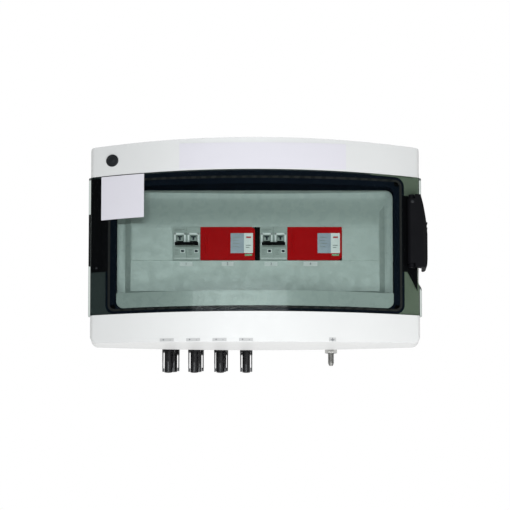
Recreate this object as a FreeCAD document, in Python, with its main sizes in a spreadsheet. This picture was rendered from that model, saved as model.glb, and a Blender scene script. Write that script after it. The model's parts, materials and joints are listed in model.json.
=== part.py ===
"""A wall-mounted DC combiner box: two circuits, each with a two-pole breaker and a surge arrester on one DIN
rail, behind a bowed smoked door, with eight solar connectors and an earth stud underneath.

Frame in millimetres: X to the right, the front faces -Y, Z up. The origin lies on the wall plane, midway along
the cover's width and the height of its sides. Depths are counted from the wall towards the front, so y = -depth.
"""

import FreeCAD, Part
import math
import os
import re

import Sketcher

V = FreeCAD.Vector

# Driving dimensions. Each becomes a cell of the sheet under its own name.
SIZES = {
    # the slot for rail devices, which sets the width of everything
    "module_width": 17.8,
    "slot_modules": 18,
    "blank_modules": 3,
    "breaker_modules": 2,
    "arrester_modules": 4,
    "spacer_width": 6.4,
    # front cover
    "side_margin": 53.8,
    "cover_half_height": 128.4,
    "top_arch": 7,
    "bottom_arch": 3.7,
    "cover_back": 64,
    "side_depth": 105,
    "front_bow": 43,
    "cover_wall": 2.5,
    "side_relief": 0.1,
    "top_corner_radius": 4,
    "bottom_corner_radius": 10,
    "front_edge_radius": 7,
    "flange_reach": 6,
    "aperture_start": 8,
    "recess_start": 12,
    "cap_from_side": 28.2,
    "cap_from_top": 18.4,
    "cap_radius": 8.1,
    "cap_rise": 0.8,
    # rear base
    "base_inset_x": 12,
    "base_inset_low": 12.4,
    "base_inset_high": 10.4,
    "base_wall": 2.5,
    "base_corner_radius": 10,
    "rim_height": 4,
    "gasket_width": 4,
    "gasket_thick": 2,
    "wall_hole_radius": 2.75,
    "wall_hole_spacing_x": 340,
    "wall_hole_spacing_z": 180,
    "post_radius": 5,
    "post_inset_x": 7.5,
    "post_inset_z": 6,
    "rail_pillar_radius": 6,
    # screws
    "screw_radius": 2,
    "screw_length": 18,
    "screw_play": 0.2,
    "screw_slot_width": 1,
    "screw_slot_depth": 1,
    "pilot_spare": 2,
    # door
    "band_low": 36.6,
    "band_high": 39.5,
    "door_high_arch": 4.2,
    "door_wall": 2.5,
    "door_clearance": 0.4,
    "door_side_length": 18,
    "scoop_low": 57,
    "scoop_slant": 8,
    "scoop_depth": 2.4,
    "scoop_behind": 21,
    "seal_inset": 1,
    "seal_width": 3,
    "seal_thick": 0.5,
    "plate_thick": 0.6,
    "plate_low": 35.5,
    "plate_edge": 0.6,
    "plate_overlap": 2.5,
    "plate_step": 1.2,
    "plate_point_in": 13,
    "plate_point_low": 60,
    "sticker_from_side": 14,
    "sticker_width": 56,
    "sticker_height": 57,
    "sticker_rise": 1.6,
    "sticker_thick": 0.3,
    # collar between the cover and the door
    "collar_from_side": 22,
    "collar_wall": 1.6,
    "collar_lip": 2,
    "collar_lip_gap": 0.8,
    "collar_lip_thick": 1,
    "collar_behind": 15,
    "boss_height": 14,
    "boss_seat": 11,
    "corner_radius": 10,
    # inner mask with its raised panel and the sill below it
    "frame_side": 12,
    "frame_low": 4.5,
    "frame_high": 11.1,
    "mask_behind": 7.5,
    "mask_thick": 3,
    "panel_from_side": 11,
    "panel_low": 66,
    "panel_high": 55,
    "panel_slope": 7,
    "panel_slope_high": 10,
    "panel_rise": 4.5,
    "sill_height": 20,
    "sill_wall": 2,
    "sill_gap": 0.5,
    "mask_screw_in": 7,
    "mask_screw_low": 27,
    "mask_screw_high": 7,
    "mask_screw_radius": 1.6,
    "mask_screw_length": 12,
    "mask_post_radius": 4,
    "fit_gap": 0.3,
    "blank_rise": 0.8,
    "blank_height": 10,
    "blank_wall": 2,
    # rail
    "rail_z": 3.4,
    "rail_depth": 38,
    "rail_width": 35,
    "rail_height": 7.5,
    "rail_thick": 1,
    "rail_web": 27,
    "rail_overhang": 9.8,
    "rail_screw_in": 25,
    # devices
    "device_back": 32,
    "device_height": 80,
    "device_gap": 0.05,
    "shoulder_depth": 76,
    "nose_height": 43.5,
    "nose_depth": 100,
    "claw_reach": 2.5,
    "rail_play": 0.4,
    "clip_width": 16,
    "clip_thick": 2.4,
    "clip_tab": 6,
    "clip_set_in": 1,
    "clip_eye_width": 5,
    "clip_eye_edge": 1.5,
    "terminal_radius": 3.2,
    "terminal_from_end": 7,
    "terminal_well": 9,
    "terminal_sink": 3,
    "terminal_play": 0.1,
    # breakers
    "groove_width": 0.3,
    "groove_depth": 0.8,
    "toggle_radius": 9,
    "toggle_width": 9,
    "toggle_pivot_up": 4.5,
    "toggle_behind": 6.5,
    "lever_length": 18,
    "lever_thick": 3.6,
    "tie_inset": 2.5,
    "tie_length": 4.5,
    # arresters
    "cartridge_seat": 60,
    "cartridge_narrowing": 3,
    "cartridge_play": 0.1,
    "cartridge_bevel": 3.5,
    "window_from_side": 2.6,
    "status_width": 11.8,
    "window_width": 17.4,
    "window_low": 12.8,
    "window_high": 13.6,
    "window_sink": 1,
    "window_rise": 0.2,
    "indicator_inset": 1,
    "indicator_height": 2.6,
    "spacer_sink": 2,
    # hinge on the left
    "hinge_inset": 1,
    "hinge_low": 24,
    "hinge_high": 44,
    "hinge_behind": 23,
    "hinge_radius": 4,
    "hinge_knuckle": 20,
    "leaf_arm_inset": 2.5,
    "leaf_arm_reach": 14,
    "pin_radius": 1.5,
    "pin_play": 0.05,
    # latch handle on the right
    "handle_pivot_in": 10.5,
    "handle_pivot_rise": 8.2,
    "handle_low": 31,
    "handle_high": 64.5,
    "handle_reach": 7.2,
    "handle_lean": 9,
    "handle_toe": 1,
    "handle_bulge": 4.7,
    "handle_round": 4,
    "handle_knuckle_radius": 5.5,
    "handle_front_drop": 8,
    "handle_front_width": 6,
    "handle_tail": 26,
    "handle_tail_thick": 6,
    "handle_tail_bevel": 5,
    "handle_skin": 2.5,
    "lug_half": 4,
    "lug_height": 5,
    "lug_root": 5,
    "keeper_rise": 1.6,
    "keeper_thick": 4,
    "keeper_behind": 25,
    "keeper_low": 4,
    "keeper_high": 36,
    # connectors below the base
    "connector_first_x": -113.5,
    "connector_pitch": 34,
    "rear_first_x": -107.5,
    "rear_pitch": 32,
    "front_row_depth": 46,
    "rear_row_depth": 21,
    "connector_length": 43,
    "rear_row_shorter": 4,
    "connector_body_radius": 8.2,
    "connector_body_length": 16.5,
    "connector_flat": 7.4,
    "connector_sleeve_radius": 5,
    "connector_bore_radius": 3.6,
    "connector_bore_length": 12,
    "connector_thread_radius": 6,
    "connector_thread_length": 9,
    "contact_radius": 2,
    "arm_out": 7.2,
    "arm_thick": 1.4,
    "arm_width": 5,
    "arm_hook": 1.9,
    "arm_hook_height": 4,
    "arm_hook_up": 1,
    "locknut_radius": 9,
    "locknut_height": 5,
    "ring_seal_radius": 8,
    "ring_seal_thick": 1,
    "hole_play": 0.1,
    # earth stud and bar
    "earth_x": 99.7,
    "earth_depth": 40,
    "stud_radius": 4,
    "stud_root_radius": 3.4,
    "stud_length": 33.5,
    "stud_point": 3,
    "stud_point_radius": 2.5,
    "stud_free": 13,
    "stud_inside": 14,
    "earth_nut_flats": 14,
    "earth_nut_height": 6.5,
    "washer_radius": 9,
    "washer_thick": 2,
    "inner_washer_thick": 1.5,
    "earth_bar_left": 11,
    "earth_bar_right": 45,
    "earth_bar_width": 14,
    "earth_bar_thick": 2,
    # wires
    "wire_radius": 2,
    "wire_entry": 16,
    "wire_tap": 10,
    "wire_above": 24,
    "wire_rise": 14,
    "wire_drop": 18,
    "wire_step": 3,
    # label on the cover
    "label_left": 98,
    "label_right": 118,
    "label_above_door": 1.5,
    "label_height": 33.6,
    "label_thick": 0.3,
}

# Sizes worked out from the driving ones.
DERIVED = {
    "slot_half_width": "slot_modules * module_width / 2",
    "half_width": "slot_half_width + side_margin",
    "bow_radius": "(half_width ^ 2 + front_bow ^ 2) / (2 * front_bow)",
    "bow_centre": "side_depth + front_bow - bow_radius",
    "beyond": "side_depth + front_bow + cover_back",
    "base_half_width": "half_width - base_inset_x",
    "base_low": "cover_half_height - base_inset_low",
    "base_high": "cover_half_height - base_inset_high",
    "base_front": "cover_back - gasket_thick",
    "door_low": "cover_half_height - band_low",
    "door_high": "cover_half_height - band_high",
    "door_half_width": "half_width + fit_gap + door_wall",
    "door_inner_radius": "front_edge_radius - door_wall",
    "recess": "door_wall + door_clearance + seal_thick + collar_lip_thick",
    "collar_back": "side_depth - collar_behind",
    "collar_front": "door_wall + door_clearance + seal_thick",
    "collar_half_width": "half_width - collar_from_side",
    "collar_low": "door_low - collar_lip_gap - collar_lip",
    "collar_high": "door_high - collar_lip_gap - collar_lip",
    "mask_depth": "nose_depth - mask_behind",
    "mask_half_width": "collar_half_width - frame_side",
    "mask_low": "collar_low - frame_low",
    "mask_high": "collar_high - frame_high",
    "panel_half_width": "mask_half_width - panel_from_side",
    "panel_depth": "mask_depth + panel_rise",
    "sill_top": "-mask_low + sill_height",
    "post_x": "collar_half_width - post_inset_x",
    "post_low": "collar_low - post_inset_z",
    "post_high": "collar_high - post_inset_z",
    "mask_screw_x": "mask_half_width - mask_screw_in",
    "rail_half_length": "slot_half_width + rail_overhang",
    "rail_screw_x": "slot_half_width - rail_screw_in",
    "rail_back": "rail_depth - rail_height",
    "nose_low": "rail_z - nose_height / 2",
    "nose_high": "rail_z + nose_height / 2",
    "device_low": "rail_z - device_height / 2",
    "device_high": "rail_z + device_height / 2",
    "breaker_width": "breaker_modules * module_width",
    "arrester_width": "arrester_modules * module_width",
    "breaker_1_x": "-slot_half_width + blank_modules * module_width",
    "arrester_1_x": "breaker_1_x + breaker_width",
    "spacer_x": "arrester_1_x + arrester_width",
    "breaker_2_x": "spacer_x + spacer_width",
    "arrester_2_x": "breaker_2_x + breaker_width",
    "devices_end": "arrester_2_x + arrester_width",
    "toggle_pivot_z": "rail_z + toggle_pivot_up",
    "toggle_pivot_depth": "nose_depth - toggle_behind",
    "hinge_x": "-half_width + hinge_inset",
    "hinge_depth": "side_depth - hinge_behind",
    "handle_x": "half_width - handle_pivot_in",
    "handle_pivot_depth": "bow_centre + sqrt(bow_radius ^ 2 - handle_x ^ 2) + handle_pivot_rise",
    "handle_outer": "door_half_width + handle_reach",
    "handle_inner": "door_half_width + fit_gap",
    "keeper_depth": "side_depth - keeper_behind",
    "handle_front": "handle_pivot_depth + handle_knuckle_radius",
    "handle_back": "side_depth - handle_tail",
    "scoop_x": "half_width - scoop_depth",
    "scoop_back": "side_depth - scoop_behind",
    "scoop_top": "-handle_low + 2 * cover_wall",
    "face": "-base_low",
    "inside": "-base_low + base_wall",
    "thread_top": "inside + connector_thread_length",
    "bar_top": "inside + inner_washer_thick + earth_bar_thick",
}

# How far a cut runs past the piece it cuts.
PAST = 1

# Distances under this are no distance.
TOUCH = 1e-4

# Shares and counts, which stay as they are at any size.
HEAD_RADIUS = 1.9
HEAD_HEIGHT = 1.2
LEVER_DIP = 22
WIRE_ARC_SHARE = 0.45
ROW = 4

doc = FreeCAD.newDocument("DcCombinerBox")
sheet = doc.addObject("Spreadsheet::Sheet", "Sizes")
for row, (alias, number) in enumerate(SIZES.items(), 1):
    sheet.set(f"A{row}", alias)
    sheet.set(f"B{row}", str(number))
    sheet.setAlias(f"B{row}", alias)
doc.recompute()

nodes = {}


def expand(text):
    """The expression with each size's name turned into its cell, and each derived name into its expression."""

    def word(match):
        name = match[0]
        if name in DERIVED:
            return "(" + expand(DERIVED[name]) + ")"
        return "Sizes." + name if name in SIZES else name

    return re.sub(r"[a-z]\w*", word, str(text))


def value(text):
    """What an expression of sizes comes to."""
    return float(sheet.evalExpression(expand(text)))


def bind(thing, prop, text):
    thing.setExpression(prop, expand(text))


def place(thing, x, depth, z):
    bind(thing, "Placement.Base.x", x)
    bind(thing, "Placement.Base.y", f"-({depth})")
    bind(thing, "Placement.Base.z", z)


def box(label, x, depth, z):
    """A block from pairs of expressions: left and right, rear and front depth, bottom and top."""
    block = doc.addObject("Part::Box", label)
    bind(block, "Length", f"({x[1]}) - ({x[0]})")
    bind(block, "Width", f"({depth[1]}) - ({depth[0]})")
    bind(block, "Height", f"({z[1]}) - ({z[0]})")
    place(block, x[0], depth[1], z[0])
    return block


TURNS = {"x": (V(0, 1, 0), 90), "depth": (V(1, 0, 0), 90), "z": (V(0, 0, 1), 0)}


def rod(label, way, centre, radius, span, tip=None):
    """A round bar along x, depth or z. centre holds the other two coordinates, and tip makes it a cone."""
    low, high = span
    bar = doc.addObject("Part::Cone" if tip else "Part::Cylinder", label)
    if tip:
        bind(bar, "Radius1", radius)
        bind(bar, "Radius2", tip)
    else:
        bind(bar, "Radius", radius)
    bind(bar, "Height", f"({high}) - ({low})")
    bar.Placement = FreeCAD.Placement(V(), FreeCAD.Rotation(*TURNS[way]))
    a, b = centre
    start = {"x": (low, a, b), "depth": (a, low, b), "z": (a, b, low)}[way]
    place(bar, *start)
    return bar


NORMALS = {"XY_Plane": V(0, 0, 1), "XZ_Plane": V(0, -1, 0), "YZ_Plane": V(1, 0, 0)}
FLAT = {"XY_Plane": ("x", "y"), "XZ_Plane": ("x", "z"), "YZ_Plane": ("y", "z")}


def draw_sides(sketch, corners, points):
    """Adds each side as a line or an arc, and returns where each starts and ends."""
    starts = []
    ends = []
    for number, corner in enumerate(corners):
        here = points[number]
        there = points[(number + 1) % len(points)]
        if len(corner) == 3:
            along = (there - here).normalize()
            middle = (here + there) / 2 + V(along.y, -along.x, 0) * value(corner[2])
            side = sketch.addGeometry(Part.Arc(here, middle, there))
            forward = sketch.getPoint(side, 1).distanceToPoint(here) < TOUCH
        else:
            side = sketch.addGeometry(Part.LineSegment(here, there))
            forward = True
        starts.append((side, 1 if forward else 2))
        ends.append((side, 2 if forward else 1))
    return starts, ends


def constrain(sketch, corners, starts, ends):
    """Joins the sides and ties every corner and every arc to its sizes."""
    for number, corner in enumerate(corners):
        side, first = starts[number]
        sketch.addConstraint(Sketcher.Constraint("Coincident", *ends[number - 1], side, first))
        for name, axis, text in (("DistanceX", -2, corner[0]), ("DistanceY", -1, corner[1])):
            if abs(value(text)) < TOUCH:
                sketch.addConstraint(Sketcher.Constraint("PointOnObject", side, first, axis))
            else:
                held = sketch.addConstraint(Sketcher.Constraint(name, -1, 1, side, first, value(text)))
                sketch.setExpression(f"Constraints[{held}]", expand(text))
        if len(corner) == 3:
            following = corners[(number + 1) % len(corners)]
            chord = f"(({following[0]}) - ({corner[0]})) ^ 2 + (({following[1]}) - ({corner[1]})) ^ 2"
            radius = f"({chord}) / (8 * abs({corner[2]})) + abs({corner[2]}) / 2"
            held = sketch.addConstraint(Sketcher.Constraint("Radius", side, value(radius)))
            sketch.setExpression(f"Constraints[{held}]", expand(radius))


def edges_at(shape, role, spots):
    """The names of the edges that run along the plane's normal through these spots."""
    across, up = FLAT[role]
    named = []
    for count, edge in enumerate(shape.Edges, 1):
        a, b = edge.Vertexes[0].Point, edge.Vertexes[-1].Point
        length = abs((b - a).dot(NORMALS[role]))
        straight = length > TOUCH and abs(length - edge.Length) < TOUCH
        if straight and any(math.dist((getattr(a, across), getattr(a, up)), spot) < TOUCH for spot in spots):
            named.append(f"Edge{count}")
    return named


def prism(label, role, corners, start, length, rounds=()):
    """A padded sketch. corners run counter-clockwise, each (u, v) or (u, v, bulge of the side that follows),
    and rounds lists ((corner numbers), radius) pairs. start is where the pad begins along the normal."""
    body = doc.addObject("PartDesign::Body", label)
    plane = next(item for item in body.Origin.OriginFeatures if item.Role == role)
    sketch = body.newObject("Sketcher::SketchObject", label + "_sketch")
    sketch.AttachmentSupport = (plane, [""])
    sketch.MapMode = "FlatFace"
    bind(sketch, "AttachmentOffset.Base.z", start)
    points = [V(value(corner[0]), value(corner[1]), 0) for corner in corners]
    starts, ends = draw_sides(sketch, corners, points)
    constrain(sketch, corners, starts, ends)
    last = body.newObject("PartDesign::Pad", label + "_pad")
    last.Profile = sketch
    bind(last, "Length", length)
    doc.recompute()
    for picked, radius in rounds:
        edges = edges_at(last.Shape, role, [(points[number].x, points[number].y) for number in picked])
        fillet = body.newObject("PartDesign::Fillet", label + "_round")
        fillet.Base = (last, edges)
        bind(fillet, "Radius", radius)
        doc.recompute()
        last = fillet
    return body


def cut(label, base, *tools):
    for number, tool in enumerate(tools, 1):
        result = doc.addObject("Part::Cut", label if number == len(tools) else f"{label}_{number}")
        result.Base = base
        result.Tool = tool
        base = result
    return base


def fuse(label, *parts):
    result = doc.addObject("Part::MultiFuse", label)
    result.Shapes = list(parts)
    return result


def common(label, *parts):
    result = doc.addObject("Part::MultiCommon", label)
    result.Shapes = list(parts)
    return result


def group(label, parts):
    """Separate solids that share one node."""
    result = doc.addObject("Part::Compound", label)
    result.Links = list(parts)
    return result


def node(name, thing):
    thing.Label = name
    nodes[name] = thing
    return thing


# Shared outlines and small parts


def plan(label, offset, back, low="-500", height="1000", half="half_width", edge="front_edge_radius"):
    """The bowed plan of the box, this far inside the outer surface, as an upright block."""
    reach = f"({half}) - ({offset})"
    depth = f"bow_centre + sqrt((bow_radius - ({offset})) ^ 2 - ({reach}) ^ 2)"
    bulge = f"(bow_radius + bow_centre - ({offset})) - ({depth})"
    corners = [
        (f"-({reach})", f"-({depth})", bulge),
        (reach, f"-({depth})"),
        (reach, f"-({back})"),
        (f"-({reach})", f"-({back})"),
    ]
    rounds = [((0, 1), edge)] if edge else []
    return prism(label, "XY_Plane", corners, low, height, rounds)


def skin(label, front, rear, half="half_width", front_edge=None, rear_edge=None):
    """A bowed sheet between two depths under the outer surface, wider than anything cut from it."""
    return cut(
        label,
        plan(label + "_front", front, "0", half=half, edge=front_edge),
        plan(label + "_rear", rear, f"-{PAST}", half=half if rear_edge else f"2 * {half}", edge=rear_edge),
    )


def cover_face(label, offset, start, length):
    """The front view of the cover, this far inside its edge."""
    side = f"half_width - ({offset})"
    top = f"cover_half_height - ({offset})"
    corners = [
        (f"-({side})", f"-({top})", "bottom_arch"),
        (side, f"-({top})"),
        (side, top, "top_arch"),
        (f"-({side})", top),
    ]
    rounds = [
        ((0, 1), f"bottom_corner_radius - ({offset})"),
        ((2, 3), f"top_corner_radius - ({offset})"),
    ]
    return prism(label, "XZ_Plane", corners, start, length, rounds)


def door_face(label, offset, start, length, half="door_half_width", rounds=()):
    """The front view of the door, this far inside its edge."""
    low = f"-(door_low - ({offset}))"
    high = f"door_high - ({offset})"
    corners = [(f"-({half})", low), (half, low), (half, high, "door_high_arch"), (f"-({half})", high)]
    return prism(label, "XZ_Plane", corners, start, length, rounds)


def pane(label, offset, half, low, high, start, length, radius="corner_radius"):
    """A rounded rectangle seen from the front, this far outside the size given."""
    corners = [
        (f"-({half} + {offset})", f"-({low} + {offset})"),
        (f"{half} + {offset}", f"-({low} + {offset})"),
        (f"{half} + {offset}", f"{high} + {offset}"),
        (f"-({half} + {offset})", f"{high} + {offset}"),
    ]
    return prism(label, "XZ_Plane", corners, start, length, [((0, 1, 2, 3), f"{radius} + {offset}")])


def collar_pane(label, offset, start, length):
    return pane(label, offset, "collar_half_width", "collar_low", "collar_high", start, length)


def mask_pane(label, offset, start, length):
    return pane(label, offset, "mask_half_width", "mask_low", "mask_high", start, length)


def base_face(label, inset, start, length):
    """The front view of the rear base, this far inside its edge."""
    return pane(
        label, f"(-({inset}))", "base_half_width", "base_low", "base_high", start, length,
        "base_corner_radius",
    )


def screw(label, spot, radius, seat, length):
    """A slotted pan-head screw along the depth, whose head sits at this depth."""
    shank = rod(label + "_shank", "depth", spot, radius, (f"{seat} - ({length})", seat))
    top = f"{seat} + {HEAD_HEIGHT} * {radius}"
    head = rod(label + "_head", "depth", spot, f"{HEAD_RADIUS} * {radius}", (seat, top))
    slot = box(
        label + "_slot", (f"{spot[0]} - 2 * {radius}", f"{spot[0]} + 2 * {radius}"),
        (f"{top} - screw_slot_depth", f"{top} + {PAST}"),
        (f"{spot[1]} - screw_slot_width / 2", f"{spot[1]} + screw_slot_width / 2"),
    )
    return cut(label, fuse(label + "_blank", shank, head), slot)


def pillar(label, spot, outer, top, pilot, deep):
    """A round post on the base's rear wall, with a pilot hole this deep in its top."""
    post = rod(label + "_post", "depth", spot, outer, ("base_wall / 2", top))
    hole = rod(label + "_pilot", "depth", spot, pilot, (f"{top} - ({deep})", f"{top} + {PAST}"))
    return cut(label, post, hole)


def corners_of(half, low, high):
    """The four places at this half width, below and above."""
    return [(f"{side} * {half}", height) for side in (-1, 1) for height in (f"-({low})", high)]


POSTS = corners_of("post_x", "post_low", "post_high")
MASK_SCREWS = corners_of("mask_screw_x", "mask_low - mask_screw_low", "mask_high - mask_screw_high")
RAIL_SCREWS = [("-rail_screw_x", "rail_z"), ("rail_screw_x", "rail_z")]


def make_rear_base():
    shell = cut(
        "base_shell",
        base_face("base_outer", "0", "0", "base_front"),
        base_face("base_hollow", "base_wall", "base_wall", "base_front"),
    )
    rim = cut(
        "base_rim",
        base_face("base_rim_outer", "base_wall / 2", "base_front - rim_height", "rim_height"),
        base_face("base_rim_inner", "gasket_width", f"base_front - rim_height - {PAST}", "2 * rim_height"),
    )
    added = [shell, rim]
    for number, spot in enumerate(POSTS, 1):
        added.append(pillar(f"collar_{number}", spot, "post_radius", "collar_back", "screw_radius",
                            "screw_length + pilot_spare"))
    for number, spot in enumerate(MASK_SCREWS, 1):
        added.append(pillar(f"mask_{number}", spot, "mask_post_radius", "mask_depth - mask_thick",
                            "mask_screw_radius", "mask_screw_length + pilot_spare"))
    for number, spot in enumerate(RAIL_SCREWS, 1):
        added.append(pillar(f"rail_{number}", spot, "rail_pillar_radius", "rail_back", "screw_radius",
                            "screw_length + pilot_spare"))
    floor = (f"face - {PAST}", f"inside + {PAST}")
    holes = [rod("earth_hole", "z", ("earth_x", "earth_depth"), "stud_radius + hole_play", floor)]
    for number, spot in enumerate(connector_spots(), 1):
        holes.append(rod(f"socket_hole_{number}", "z", spot, "connector_thread_radius + hole_play", floor))
    for spot in corners_of("wall_hole_spacing_x / 2", "wall_hole_spacing_z / 2", "wall_hole_spacing_z / 2"):
        holes.append(rod("wall_hole", "depth", spot, "wall_hole_radius", (f"-{PAST}", f"base_wall + {PAST}")))
    node("rear_base", cut("rear_base", fuse("base_solid", *added), *holes))


def make_gasket():
    node("base_gasket", cut(
        "base_gasket",
        base_face("gasket_outer", "0", "base_front", "gasket_thick"),
        base_face("gasket_inner", "gasket_width", f"base_front - {PAST}", f"gasket_thick + 2 * {PAST}"),
    ))


def finger_scoop(label):
    """The hollow in the box's right edge, under the handle, with a slanted lower end."""
    corners = [
        ("scoop_x", "-(scoop_low - scoop_slant)"),
        ("door_half_width", "-scoop_low"),
        ("door_half_width + cover_wall", "-scoop_low"),
        ("door_half_width + cover_wall", "scoop_top"),
        ("scoop_x", "scoop_top"),
    ]
    return prism(label, "XZ_Plane", corners, "scoop_back", "beyond")


def make_front_cover():
    """A bowed shell with bands above and below the door, a recess between them for it, and an aperture."""
    far = "side_depth + front_bow"
    outer = common(
        "cover_outer",
        cover_face("cover_outer_face", "0", "cover_back", far),
        plan("cover_outer_plan", "0", f"cover_back - {PAST}"),
    )
    hollow = common(
        "cover_hollow",
        cover_face("cover_hollow_face", "cover_wall", "cover_back + cover_wall", far),
        plan("cover_hollow_plan", "recess + cover_wall", "cover_back", half="half_width + recess", edge=None),
    )
    bands = cut(
        "cover_band_hollow",
        common(
            "cover_bands",
            cover_face("cover_band_face", "cover_wall", "cover_back + cover_wall", far),
            plan("cover_band_plan", "cover_wall", "cover_back"),
        ),
        door_face("cover_band_divider", "-(cover_wall + door_clearance)", "0", "beyond"),
    )
    recess = cut(
        "cover_recess",
        door_face("recess_face", "-door_clearance", "cover_back + recess_start", far,
                  half="half_width + recess"),
        plan("recess_plan", "recess", "0", half="half_width + recess - side_relief", edge=None),
    )
    aperture = collar_pane("cover_aperture", "fit_gap", "cover_back + aperture_start", far)
    rear = base_face("cover_rear_opening", "flange_reach", f"cover_back - {PAST}", "2 * cover_wall")
    channel = box(
        "hinge_channel",
        (f"-half_width - {PAST}", "hinge_x + hinge_radius + fit_gap"),
        ("hinge_depth - hinge_radius - fit_gap", far),
        ("-hinge_low - fit_gap", "hinge_high + fit_gap"),
    )
    channel_lining = box(
        "hinge_channel_lining",
        ("-half_width + cover_wall / 2", "hinge_x + hinge_radius + fit_gap + cover_wall"),
        ("hinge_depth - hinge_radius - fit_gap - cover_wall", far),
        ("-hinge_low - fit_gap - cover_wall", "hinge_high + fit_gap + cover_wall"),
    )
    scoop_lining = box(
        "scoop_lining",
        ("scoop_x - cover_wall", "half_width - cover_wall / 2"),
        ("scoop_back - cover_wall", far),
        ("-scoop_low - cover_wall", "scoop_top + cover_wall"),
    )
    linings = common(
        "cover_linings",
        fuse("lining_blocks", channel_lining, scoop_lining),
        plan("lining_plan", "recess + cover_wall / 2", "0", half="half_width + recess", edge=None),
    )
    walls = cut("cover_walls", outer, hollow, bands, recess, aperture, rear)
    keeper = box(
        "latch_keeper", ("half_width - cover_wall / 2", "half_width + keeper_rise"),
        ("keeper_depth", "keeper_depth + keeper_thick"), ("-keeper_low", "keeper_high"),
    )
    lined = fuse("cover_lined", walls, linings, keeper)
    node("front_cover", cut("front_cover", lined, channel, finger_scoop("cover_scoop")))


def make_cap():
    """The round cap in the cover's upper left corner, on the bowed band."""
    spot = ("-half_width + cap_from_side", "cover_half_height - cap_from_top")
    sheet_of_cap = skin("cap_skin", "-cap_rise", "0")
    disc = rod("cap_round", "depth", spot, "cap_radius", ("cover_back", "beyond"))
    node("corner_cap", common("corner_cap", sheet_of_cap, disc))


def make_collar():
    """A black frame round the opening: a channel that stands on four posts, with a flange under the door."""
    far = "side_depth + front_bow"
    tube = common(
        "collar_tube",
        cut("collar_ring", collar_pane("collar_outer", "0", "collar_back", far),
            mask_pane("collar_inner", "0", "0", "beyond")),
        plan("collar_plan", "collar_front", "0", edge=None),
    )
    channel = common(
        "collar_channel",
        cut("collar_channel_ring",
            collar_pane("collar_channel_outer", "(-collar_wall)", f"collar_back - {PAST}", far),
            mask_pane("collar_channel_inner", "collar_wall", "0", "beyond")),
        plan("collar_channel_plan", "collar_front + collar_wall", "0", edge=None),
    )
    lip_rounds = [((0, 1, 2, 3), "corner_radius + collar_lip")]
    lip = common(
        "collar_lip",
        cut("collar_lip_ring",
            door_face("collar_lip_outer", "collar_lip_gap", "collar_back", far,
                      "collar_half_width + collar_lip", lip_rounds),
            mask_pane("collar_lip_inner", "0", "0", "beyond")),
        skin("collar_lip_skin", "collar_front", "collar_front + collar_lip_thick"),
    )
    bosses = []
    holes = []
    screws = []
    for number, spot in enumerate(POSTS, 1):
        seat = "collar_back + boss_seat"
        bosses.append(rod(f"boss_{number}", "depth", spot, "post_radius",
                          ("collar_back", "collar_back + boss_height")))
        holes.append(rod(f"boss_hole_{number}", "depth", spot, "screw_radius + screw_play",
                         (f"collar_back - {PAST}", seat)))
        holes.append(rod(f"boss_seat_{number}", "depth", spot, "2 * screw_radius", (seat, "beyond")))
        screws.append(screw(f"collar_screw_{number}", spot, "screw_radius", seat, "screw_length + boss_seat"))
    hollowed = cut("collar_hollowed", tube, channel)
    node("collar", cut("collar", fuse("collar_solid", hollowed, lip, *bosses), *holes))
    node("collar_screws", group("collar_screws", screws))


def frustum(label, front, back, half_front, low_front, high_front, grow_x, grow_low, grow_high):
    """A block with an upright rectangle at its front and a larger one at its rear."""
    block = doc.addObject("Part::Wedge", label)
    for prop, text in (
        ("Ymin", f"-({front})"), ("Ymax", f"-({back})"),
        ("Xmin", f"-({half_front})"), ("Xmax", half_front),
        ("Zmin", f"-({low_front})"), ("Zmax", high_front),
        ("X2min", f"-({half_front} + {grow_x})"), ("X2max", f"{half_front} + {grow_x}"),
        ("Z2min", f"-({low_front} + {grow_low})"), ("Z2max", f"{high_front} + {grow_high}"),
    ):
        bind(block, prop, text)
    return block


def make_sill(label, inset, top):
    """A bowed block along the mask's lower edge, this far inside the sill's surface."""
    return common(
        label,
        mask_pane(label + "_face", f"(-fit_gap - ({inset}))", "mask_depth - mask_thick", "beyond"),
        plan(label + "_plan", f"collar_front + sill_gap + {inset}", "0", edge=None),
        box(label + "_height", ("-half_width", "half_width"), ("0", "beyond"), ("-cover_half_height", top)),
    )


def make_mask():
    """The inner cover: a flat frame, a raised panel with sloping sides, and a hollow sill along its foot."""
    plate = mask_pane("mask_plate", "(-fit_gap)", "mask_depth - mask_thick", "mask_thick")
    slopes = ("panel_slope", "panel_slope", "panel_slope_high")
    raised = frustum(
        "panel_outer", "panel_depth", "mask_depth",
        "panel_half_width - panel_slope", "panel_low - panel_slope", "panel_high - panel_slope_high", *slopes,
    )
    hollow = frustum(
        "panel_inner", "panel_depth - mask_thick", "mask_depth - mask_thick",
        "panel_half_width - panel_slope - mask_thick / 2", "panel_low - panel_slope - mask_thick / 2",
        "panel_high - panel_slope_high - mask_thick / 2", *slopes,
    )
    sill = make_sill("sill_outer", "0", "sill_top")
    sill_hollow = make_sill("sill_inner", "sill_wall", "sill_top - sill_wall")
    through = (f"mask_depth - mask_thick - {PAST}", f"panel_depth + {PAST}")
    slot = box("mask_slot", ("-slot_half_width - fit_gap", "slot_half_width + fit_gap"), through,
               ("nose_low - fit_gap", "nose_high + fit_gap"))
    holes = []
    screws = []
    for number, spot in enumerate(MASK_SCREWS, 1):
        radius = "mask_screw_radius"
        holes.append(rod(f"mask_screw_hole_{number}", "depth", spot, f"{radius} + screw_play", through))
        screws.append(screw(f"mask_screw_{number}", spot, radius, "mask_depth", "mask_screw_length"))
    solid = fuse("mask_solid", plate, raised, sill)
    node("mask", cut("mask", solid, hollow, sill_hollow, slot, *holes))
    node("mask_screws", group("mask_screws", screws))


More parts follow.
